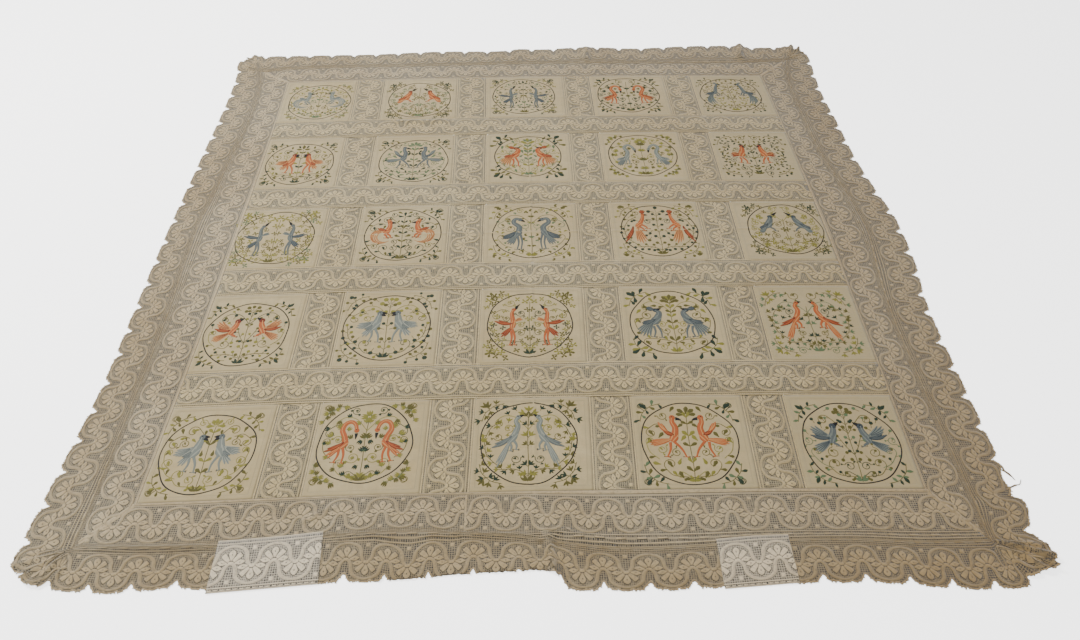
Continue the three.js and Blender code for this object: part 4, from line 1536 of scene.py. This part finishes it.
class Bench:
    """A material's nodes, added one at a time."""

    def __init__(self, name):
        self.material = bpy.data.materials.new(name)
        self.material.use_nodes = True
        self.tree = self.material.node_tree
        self.tree.nodes.clear()

    def add(self, kind, settings=None, sockets=None, output=0):
        """One node: its settings first, then its sockets' values or links."""
        node = self.tree.nodes.new(kind)
        for key, value in (settings or {}).items():
            setattr(node, key, value)
        for key, value in (sockets or {}).items():
            if isinstance(value, Socket):
                self.tree.links.new(value.source, node.inputs[key])
            else:
                node.inputs[key].default_value = value
        return Socket(self, node.outputs[output]) if len(node.outputs) else None

    def split(self, vector):
        """The three numbers of a vector."""
        node = self.tree.nodes.new("ShaderNodeSeparateXYZ")
        self.tree.links.new(vector.source, node.inputs[0])
        return [Socket(self, output) for output in node.outputs]

    def tone(self):
        return self.add("ShaderNodeAttribute", {"attribute_name": "tone"}, {}, "Fac")

    def pattern(self):
        return self.add("ShaderNodeAttribute", {"attribute_name": "pattern"}, {}, "Vector")

    def place(self):
        return self.add("ShaderNodeTexCoord", {}, {}, "Object")

    def noise(self, place, scale, detail=3.0, roughness=0.55):
        """Cloudy variation from 0 to 1; scale is in clouds for each metre."""
        sockets = {"Vector": place, "Scale": scale, "Detail": detail, "Roughness": roughness}
        return self.add("ShaderNodeTexNoise", {}, sockets, "Fac")

    def streaks(self, place, stretch, detail):
        """Cloudy variation drawn out along one direction."""
        drawn = self.add("ShaderNodeVectorMath", {"operation": "MULTIPLY"}, {0: place, 1: stretch})
        return self.noise(drawn, 1.0, detail)

    def blend(self, share, first, second, how="MIX"):
        """Two colours mixed by a share."""
        return self.add("ShaderNodeMix", {"data_type": "RGBA", "blend_type": how},
                        {0: share, 6: first, 7: second}, 2)

    def stretched(self, value, low, high, start=0.0, end=1.0):
        """A value run from one range to another, clamped."""
        return self.add("ShaderNodeMapRange", {"interpolation_type": "SMOOTHSTEP"},
                        {0: value, 1: low, 2: high, 3: start, 4: end})

    def finish(self, colour, roughness=0.88, height=None, depth=0.0004, alpha=None, sheen=0.25,
               glow=0.0):
        """Joins up the cloth's surface and gives the material."""
        sockets = {"Base Color": colour, "Roughness": roughness, "Sheen Weight": sheen,
                   "Sheen Roughness": 0.6, "Specular IOR Level": 0.25,
                   "Emission Strength": glow}
        if height is not None:
            sockets["Normal"] = self.add("ShaderNodeBump", {},
                                         {"Strength": 0.9, "Distance": depth, "Height": height})
        if alpha is not None:
            sockets["Alpha"] = alpha
        surface = self.add("ShaderNodeBsdfPrincipled", {}, sockets)
        self.add("ShaderNodeOutputMaterial", {}, {"Surface": surface})
        return self.material


# Pitches of the darning's ribs and the hem's stitches, in millimetres of the drawing, and of
# the linen's threads and the embroidery's strands, in metres.
RIB_PITCH, HEM_STITCH = 1.5, 3.2
WEAVE_PITCH, STRAND_PITCH = 0.0011, 0.0012


def even_waves(value, pitch):
    """Even waves from -1 to 1 along a value."""
    return (value * (2 * math.pi / pitch)).sine()


def aged(bench, place, colour, amount):
    """Old cotton's uneven colour: broad cloudy yellowing, small freckles, and darkening towards the
    right and front, partly soiling and partly painted shade.
    """
    broad = bench.stretched(bench.noise(place, 2.6, 3.0), 0.3, 0.7)
    small = bench.stretched(bench.noise(place, 34.0, 4.0), 0.35, 0.75)
    darker = bench.blend(amount, colour, srgb((0.86, 0.80, 0.70)), "MULTIPLY")
    paler = bench.blend(amount * 0.25, colour, srgb((0.5, 0.5, 0.5)), "SCREEN")
    cloudy = bench.blend(broad * 0.6 + small * 0.4, darker, paler)
    across, back, _ = bench.split(place)
    # Darker towards the right, the front and the front right: partly soiling, partly painted shade
    # where the light falls off away from the left.
    soil_and_shade = (bench.stretched(across, -0.2, 1.2)
              + bench.stretched(back, -1.12, -0.95, 1.0, 0.0) * 0.4
              + bench.stretched(across - back * 0.7, 0.9, 1.8) * 0.9)
    return bench.blend(soil_and_shade * 0.5, cloudy, srgb((0.88, 0.83, 0.74)), "MULTIPLY")


def net_finish(name, thread, hole, see_through, amount=0.5, row=0.28):
    """Square-meshed net: fine round the flowers, open between the horseshoes, rows at the edges."""
    bench = Bench(name)
    u, v, _ = bench.split(bench.pattern())
    near = abs((u / REPEAT + 0.5).fract() - 0.5) * REPEAT
    up = ((near * near + (v - 5) * (v - 5)) < FINE_REACH ** 2) * (v > -3)
    away = REPEAT / 2 - near
    down = ((away * away + (v + 5) * (v + 5)) < FINE_REACH ** 2) * (v < 3)
    inside = up.larger(down)
    rows = abs(v) > PATTERN_HALF

    def mesh(pitch, half):
        return ((abs((u / pitch).fract() - 0.5) < half) * (abs((v / pitch).fract() - 0.5) < half))

    fine = mesh(FINE_MESH, FINE_HOLE) * inside
    open_mesh = mesh(OPEN_MESH, OPEN_HOLE) * (1 - inside)
    row_place = abs(((abs(v) - ROW_PLACE) / ROW_PITCH + 0.5).fract() - 0.5)
    row_mesh = (row_place < row) * (abs((u / OPEN_MESH).fract() - 0.5) < ROW_HOLE)
    place = bench.place()
    matted = bench.stretched(bench.noise(place, 240.0, 2.0), 0.34, 0.62, 0.5, 1.0)
    holes = ((fine + open_mesh) * (1 - rows) + row_mesh * rows) * matted
    # The holes are painted in the hole colour, a dark shade standing for shade seen through the
    # net, and are only a little see-through. Where the tone falls to 0, over an upright strip, the
    # painted shade is lightened towards the thread.
    hole_shade_share = bench.tone()
    under = bench.blend(hole_shade_share, srgb([0.2 * t + 0.8 * h for t, h in zip(thread, hole)]), srgb(hole))
    colour = bench.blend(holes, aged(bench, place, srgb(thread), amount), under)
    return bench.finish(colour, 0.9, 1 - holes, 0.0003, 1 - holes * see_through)


def clothwork_finish(name, light, rim, amount=0.5):
    """Close darned work with its ribs, and painted shade at its shapes' feet and in the ribs'
    troughs.
    """
    bench = Bench(name)
    u, v, _ = bench.split(bench.pattern())
    place = bench.place()
    # rim is the painted shade colour. The tone is 0 at the raised shapes' feet and 1 on their
    # crowns, and paints shade at the feet and between the petals.
    colour = bench.blend(bench.stretched(bench.tone(), 0.4, 0.9), srgb(rim),
                         aged(bench, place, srgb(light), amount))
    ribs = even_waves(u, RIB_PITCH) * even_waves(v, RIB_PITCH) * 0.5 + 0.5
    worn = bench.stretched(bench.noise(place, 210.0, 3.0), 0.42, 0.8)
    # The ribs' troughs get a little of the same painted shade, and worn patches also darken towards
    # it.
    colour = bench.blend(ribs * 0.14 + worn * 0.34, colour, srgb(rim))
    return bench.finish(colour, 0.85, ribs + bench.noise(place, 900.0, 2.0) * 0.5, 0.00025)


def linen_finish(name, light, amount=0.5):
    """Plain-woven linen with slubs, a stitched hem and old creases, and painted shade on its
    crinkles and towards the right.
    """
    bench = Bench(name)
    x, y, from_edge = bench.split(bench.pattern())
    place = bench.place()
    px, py, _ = bench.split(place)
    weave = even_waves(px, WEAVE_PITCH) * even_waves(py, WEAVE_PITCH) * 0.5 + 0.5
    slubs = (bench.streaks(place, (900.0, 40.0, 1.0), 2.0)
             + bench.streaks(place, (40.0, 900.0, 1.0), 2.0))
    colour = aged(bench, place, srgb(light), amount)
    dull = srgb([c * 0.84 for c in light])
    colour = bench.blend(bench.stretched(slubs, 0.8, 1.35) * 0.35, colour, dull)
    width = sizes().hem / MM
    hem_line = bench.stretched(abs(from_edge - (width + 0.8)), 0.0, 1.1, 1.0, 0.0)
    stitches = abs(((x + y) / HEM_STITCH).fract() - 0.5) < 0.28
    stitched = srgb([c * 0.55 for c in light])
    colour = bench.blend(hem_line * (0.25 + stitches * 0.4), colour, stitched)
    hem = bench.stretched(from_edge, width - 1.0, width + 7.0, 1.0, 0.0)
    colour = bench.blend(hem * 0.3, colour, dull)
    crinkle = bench.noise(place, 24.0, 4.0, 0.6)
    for stretch in ((70.0, 13.0, 1.0), (13.0, 70.0, 1.0)):
        crinkle = crinkle + bench.streaks(place, stretch, 3.0) * 0.8
    # Painted shade: darker towards the right, where the light falls off, and darker where the
    # crinkle noise that also bumps the crinkles is high.
    painted_right_shade = bench.stretched(px, 0.42, 0.8) * 0.3
    colour = bench.blend(bench.stretched(crinkle, 0.98, 1.6, 0.0, 0.5) + painted_right_shade, colour, dull)
    height = weave * 0.4 + slubs * 0.6 - hem_line * 1.5 + crinkle * 6.0
    return bench.finish(colour, 0.86, height, 0.0003)


def thread_finish(name, light):
    """Stranded cotton worked in satin stitch, with painted shade along each band's edges."""
    bench = Bench(name)
    place = bench.place()
    px, py, _ = bench.split(place)
    strands = even_waves(px + py * 0.6, STRAND_PITCH) * 0.5 + 0.5
    cloud = bench.stretched(bench.noise(place, 60.0, 2.0), 0.3, 0.7)
    colour = bench.blend(cloud * 0.4, srgb(light), srgb([c * 0.86 + 0.05 for c in light]))
    # The tone, 0 at each band's edges, paints shade there, on top of the lines of the strands.
    colour = bench.blend(strands * 0.22 + (1 - bench.tone()) * 0.3, colour,
                         srgb([c * 0.62 for c in light]))
    return bench.finish(colour, 0.6, strands, 0.0002, None, 0.0)


def floor_finish():
    bench = Bench("studio_floor")
    soft = bench.noise(bench.place(), 3.0, 2.0)
    colour = bench.blend(soft * 0.15, srgb((0.93, 0.93, 0.93)), srgb((0.9, 0.9, 0.9)))
    return bench.finish(colour, 0.9, None, 0, None, 0.0, FLOOR_GLOW)


FLOOR_GLOW = 2.2


# ------------------------------------------------------------------ settings a user can change

def colour_setting(name, description, default):
    return bpy.props.FloatVectorProperty(name=name, description=description, subtype="COLOR_GAMMA",
                                         size=3, min=0.0, max=1.0, default=default)


def length_setting(name, description, millimetres):
    return bpy.props.FloatProperty(name=name, description=description, unit="LENGTH",
                                   subtype="DISTANCE", min=0.0, default=millimetres * MM)


class BedspreadColours(bpy.types.PropertyGroup):
    """Colours of the cloth, as they are seen."""

    linen: colour_setting("Linen", "Colour of the linen squares", (0.622, 0.562, 0.405))
    insertion: colour_setting("Insertion", "Thread of the insertion strips", (0.668, 0.604, 0.437))
    border: colour_setting("Border", "Thread of the border lace", (0.63, 0.567, 0.43))
    edging: colour_setting("Edging", "Thread of the scalloped edging", (0.605, 0.538, 0.392))
    mend: colour_setting("Mend", "Thread of the newer lace", (0.79, 0.74, 0.64))
    # Painted shade colour for the feet of the clothwork's raised shapes and the ribs' troughs.
    edge_shade: colour_setting("Groove", "Soiling in the clothwork's grooves", (0.09, 0.078, 0.06))
    hole: colour_setting("Hole", "Shade seen through the net", (0.05, 0.065, 0.095))


class BedspreadThreads(bpy.types.PropertyGroup):
    """Colours of the embroidery threads, as they are seen."""

    ring: colour_setting("Ring", "Thread of the rings", (0.015, 0.012, 0.03))
    ink: colour_setting("Ink", "Bills, eyes and claws", (0.01, 0.01, 0.015))
    coral: colour_setting("Coral", "Bodies of the coral birds", (0.575, 0.28, 0.12))
    peach: colour_setting("Peach", "Light feathers of the coral birds", (0.665, 0.465, 0.27))
    rust: colour_setting("Rust", "Wings and tails of the coral birds", (0.38, 0.125, 0.035))
    blue: colour_setting("Blue", "Bodies of the blue birds", (0.285, 0.31, 0.305))
    sky: colour_setting("Sky", "Light feathers of the blue birds", (0.385, 0.405, 0.375))
    ice: colour_setting("Ice", "Palest feathers", (0.49, 0.5, 0.45))
    deep_blue: colour_setting("Deep blue", "Wings and tails of the blue birds", (0.165, 0.2, 0.22))
    stem: colour_setting("Stem", "Stems and curls", (0.27, 0.26, 0.11))
    pine: colour_setting("Pine", "Darkest leaves", (0.07, 0.14, 0.07))
    olive: colour_setting("Olive", "Olive leaves", (0.28, 0.26, 0.07))
    leaf: colour_setting("Leaf", "Light leaves", (0.42, 0.4, 0.14))
    sage: colour_setting("Sage", "Greyish leaves", (0.28, 0.35, 0.23))


class BedspreadSizes(bpy.types.PropertyGroup):
    """Sizes of the cloth and its work."""

    net: length_setting("Net", "Thickness of the net", 0.45)
    relief: length_setting("Relief", "How far the clothwork stands off the net", 1.15)
    hem: length_setting("Hem", "Width of the hems of the linen squares", 11.0)
    sight: bpy.props.FloatProperty(
        name="Sight", description="How much is seen through one side of a hole in the net",
        subtype="FACTOR", min=0.0, max=1.0, default=0.1)


def colours():
    return bpy.context.scene.bedspread_colours


def sizes():
    return bpy.context.scene.bedspread_sizes


def thread_colours():
    return bpy.context.scene.bedspread_threads


# ------------------------------------------------------------------ pieces

def squares():
    """Row, column and shared name of every linen square, from the back left."""
    for row in range(len(ROWS)):
        for column in range(len(COLUMNS)):
            yield row, column, f"{row + 1}_{column + 1}"


def settle(piece, stands_for=None):
    """Rides the piece on the bedspread and hides the frame part that it stands for."""
    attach(piece, "root")
    if stands_for:
        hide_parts(stands_for)
    return piece


# The net's thread against the clothwork's: a little darker, and less yellow.
NET_TINT = (0.84, 0.85, 0.87)


def make_lace(name, lace, thread, amount, row=0.28):
    net, clothwork = lace.net, lace.work
    tint, palette = tuple(thread), colours()
    cooler = [c * cool for c, cool in zip(tint, NET_TINT)]
    net_look = net_finish(f"{name}_net", cooler, tuple(palette.hole), sizes().sight, amount, row)
    piece = settle(net.build(name + "_net", [net_look]), name)
    raised_look = clothwork_finish(f"{name}_clothwork", tint, tuple(palette.edge_shade), amount)
    raised = settle(clothwork.build(name + "_clothwork", [raised_look]))


class BEDSPREAD_OT_needlework(bpy.types.Operator):
    """Stitches the ring, birds and plants on each of the linen squares"""

    bl_idname = "bedspread.needlework"
    bl_label = "Needlework"

    def execute(self, context):
        looks = {}
        for row, column, number in squares():
            hoop = needlework(row, column)
            for thread in hoop.threads:
                if thread not in looks:
                    colour = tuple(getattr(thread_colours(), thread))
                    looks[thread] = thread_finish(f"thread_{thread}", colour)
            finishes = [looks[thread] for thread in hoop.threads]
            settle(hoop.work.build(f"needlework_{number}", finishes))
        return {"FINISHED"}


class BEDSPREAD_OT_linen(bpy.types.Operator):
    """Makes the twenty-five hemmed linen squares"""

    bl_idname = "bedspread.linen"
    bl_label = "Linen squares"

    def execute(self, context):
        look = linen_finish("linen", tuple(colours().linen), 0.5)
        for row, column, number in squares():
            piece = linen_square(row, column).build(f"linen_{number}_cloth", [look])
            settle(piece, f"linen_{number}")
        return {"FINISHED"}


class BEDSPREAD_OT_insertion(bpy.types.Operator):
    """Makes the lace strips between the linen squares"""

    bl_idname = "bedspread.insertion"
    bl_label = "Insertion strips"

    def execute(self, context):
        thread = tuple(colours().insertion)
        for kind, table, ends in (("upright", COLUMNS, ROW_BANDS), ("cross", ROWS, COLUMN_BANDS)):
            length = abs(ends[-1][1] - ends[0][0])
            for index in range(len(table) - 1):
                flat = (table[index][1] * MM, length * MM)
                rests = ["studio_floor"] if kind == "upright" else [
                    f"insertion_upright_{n + 1}_net" for n in range(len(COLUMNS) - 1)]
                make_lace(f"insertion_{kind}_{index + 1}", insertion_lace(index, kind == "upright"),
                          thread, 0.4, 0.13)
        return {"FINISHED"}


class BEDSPREAD_OT_border(bpy.types.Operator):
    """Makes the border lace on the four sides, with mitred corners"""

    bl_idname = "bedspread.border"
    bl_label = "Border"

    def execute(self, context):
        for name, side in SIDES.items():
            start, end = side_ends(side, "seam")
            depth = np.mean([out for _, out in side["seam"]]) - HALF
            flat = (depth * MM, (end - start) * MM)
            area = depth * (HALF * 2 + end - start) / 2 * MM * MM
            make_lace(f"border_{name}", border_lace(name), colours().border,
                      0.5)
        return {"FINISHED"}


class BEDSPREAD_OT_edging(bpy.types.Operator):
    """Makes the scalloped edging on the four sides, pleated round the corners"""

    bl_idname = "bedspread.edging"
    bl_label = "Edging"

    def execute(self, context):
        for name, side in SIDES.items():
            start, end = side_ends(side, "edge")
            out = np.mean([row[1] for row in side["edge"]])
            depth = out - np.mean([row[1] for row in side["seam"]])
            flat = (depth * MM, (end - start) * MM)
            area = (depth - SCALLOP_DEPTH * 0.19) * (end - start) * MM * MM
            make_lace(f"edging_{name}", edging_lace(name), colours().edging,
                      0.6)
        return {"FINISHED"}


class BEDSPREAD_OT_mends(bpy.types.Operator):
    """Makes the two lengths of newer lace sewn over the front edging"""

    bl_idname = "bedspread.mends"
    bl_label = "Mends"

    def execute(self, context):
        for row in MENDS:
            name, start, end = row[:3]
            depth = np.mean(row[3:5]) + MEND_REACH + MEND_OVERLAP - through(
                SIDES["front"]["seam"], (start + end) / 2)
            make_lace(name, mend_lace(row), colours().mend,
                      0.15)
        return {"FINISHED"}


class BEDSPREAD_OT_stage(bpy.types.Operator):
    """Sets up the floor, the lights and the camera"""

    bl_idname = "bedspread.stage"
    bl_label = "Stage"

    def execute(self, context):
        floor = Work()
        spread = np.linspace(-FLOOR_HALF, FLOOR_HALF, FLOOR_LINES)
        x, y = np.meshgrid(spread, spread, indexing="ij")
        points = np.stack([x, y, np.full_like(x, FLOOR_LEVEL)], -1)
        floor.add(points, [grid_faces(FLOOR_LINES, FLOOR_LINES)])
        floor.build("studio_floor", [floor_finish()])
        for light_name, place, size, power, tint in LIGHTS:
            data = bpy.data.lights.new(light_name, "AREA")
            data.shape, data.size, data.energy, data.color = "DISK", size, power, tint
            lamp = bpy.data.objects.new(light_name, data)
            lamp.location = place
            lamp.rotation_euler = (-Vector(place)).to_track_quat("-Z", "Y").to_euler()
            context.collection.objects.link(lamp)
        world = bpy.data.worlds.new("studio_air")
        world.use_nodes = True
        air = world.node_tree.nodes["Background"]
        air.inputs["Color"].default_value = (1.0, 1.0, 1.0, 1.0)
        air.inputs["Strength"].default_value = AIR_STRENGTH
        context.scene.world = world
        data = bpy.data.cameras.new("studio_camera")
        data.sensor_width, data.lens = 36.0, CAMERA_LENS
        camera = bpy.data.objects.new("studio_camera", data)
        x, y, z = CAMERA_PLACE
        camera.location = ((x + OFFSET[0]) * MM, (y + OFFSET[1]) * MM, z * MM)
        camera.rotation_euler = [math.radians(angle) for angle in CAMERA_TURN]
        context.collection.objects.link(camera)
        context.scene.camera = camera
        return {"FINISHED"}


FLOOR_LEVEL = -0.0008
FLOOR_HALF, FLOOR_LINES = 6, 13
CAMERA_LENS = 26.55
CAMERA_PLACE = (8.4, -1842.3, 1603.8)
CAMERA_TURN = (42.708, 0.322, -1.052)
AIR_STRENGTH = 0.74

# Lights: name, place, size, power, colour.
LIGHTS = [
    ("studio_key", (-3.0, 1.0, 4.0), 1.8, 400, (1.0, 0.985, 0.96)),
    ("studio_fill", (0.6, -2.8, 3.2), 3.0, 54, (0.98, 0.99, 1.0)),
]


class BEDSPREAD_PT_panel(bpy.types.Panel):
    """Lists the bedspread's settings and the steps that make it"""

    bl_label = "Bedspread"
    bl_idname = "BEDSPREAD_PT_panel"
    bl_space_type = "VIEW_3D"
    bl_region_type = "UI"
    bl_category = "Bedspread"

    def draw(self, context):
        for settings in (context.scene.bedspread_sizes, context.scene.bedspread_colours,
                         context.scene.bedspread_threads):
            box = self.layout.box()
            for key in settings.__annotations__:
                box.prop(settings, key)
        for step in STEPS:
            self.layout.operator(step.bl_idname)


STEPS = (BEDSPREAD_OT_stage, BEDSPREAD_OT_needlework, BEDSPREAD_OT_linen, BEDSPREAD_OT_insertion,
         BEDSPREAD_OT_border, BEDSPREAD_OT_edging, BEDSPREAD_OT_mends)
SETTINGS = (BedspreadColours, BedspreadThreads, BedspreadSizes)


def register():
    for item in (*SETTINGS, *STEPS, BEDSPREAD_PT_panel):
        bpy.utils.register_class(item)
    bpy.types.Scene.bedspread_colours = bpy.props.PointerProperty(type=BedspreadColours)
    bpy.types.Scene.bedspread_threads = bpy.props.PointerProperty(type=BedspreadThreads)
    bpy.types.Scene.bedspread_sizes = bpy.props.PointerProperty(type=BedspreadSizes)


def unregister():
    del bpy.types.Scene.bedspread_sizes
    del bpy.types.Scene.bedspread_threads
    del bpy.types.Scene.bedspread_colours
    for item in reversed((*SETTINGS, *STEPS, BEDSPREAD_PT_panel)):
        bpy.utils.unregister_class(item)


def main():
    register()
    bpy.ops.bedspread.stage()
    bpy.ops.bedspread.needlework()
    bpy.ops.bedspread.linen()
    bpy.ops.bedspread.insertion()
    bpy.ops.bedspread.border()
    bpy.ops.bedspread.edging()
    bpy.ops.bedspread.mends()
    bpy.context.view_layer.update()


if __name__ == "__main__":
    main()
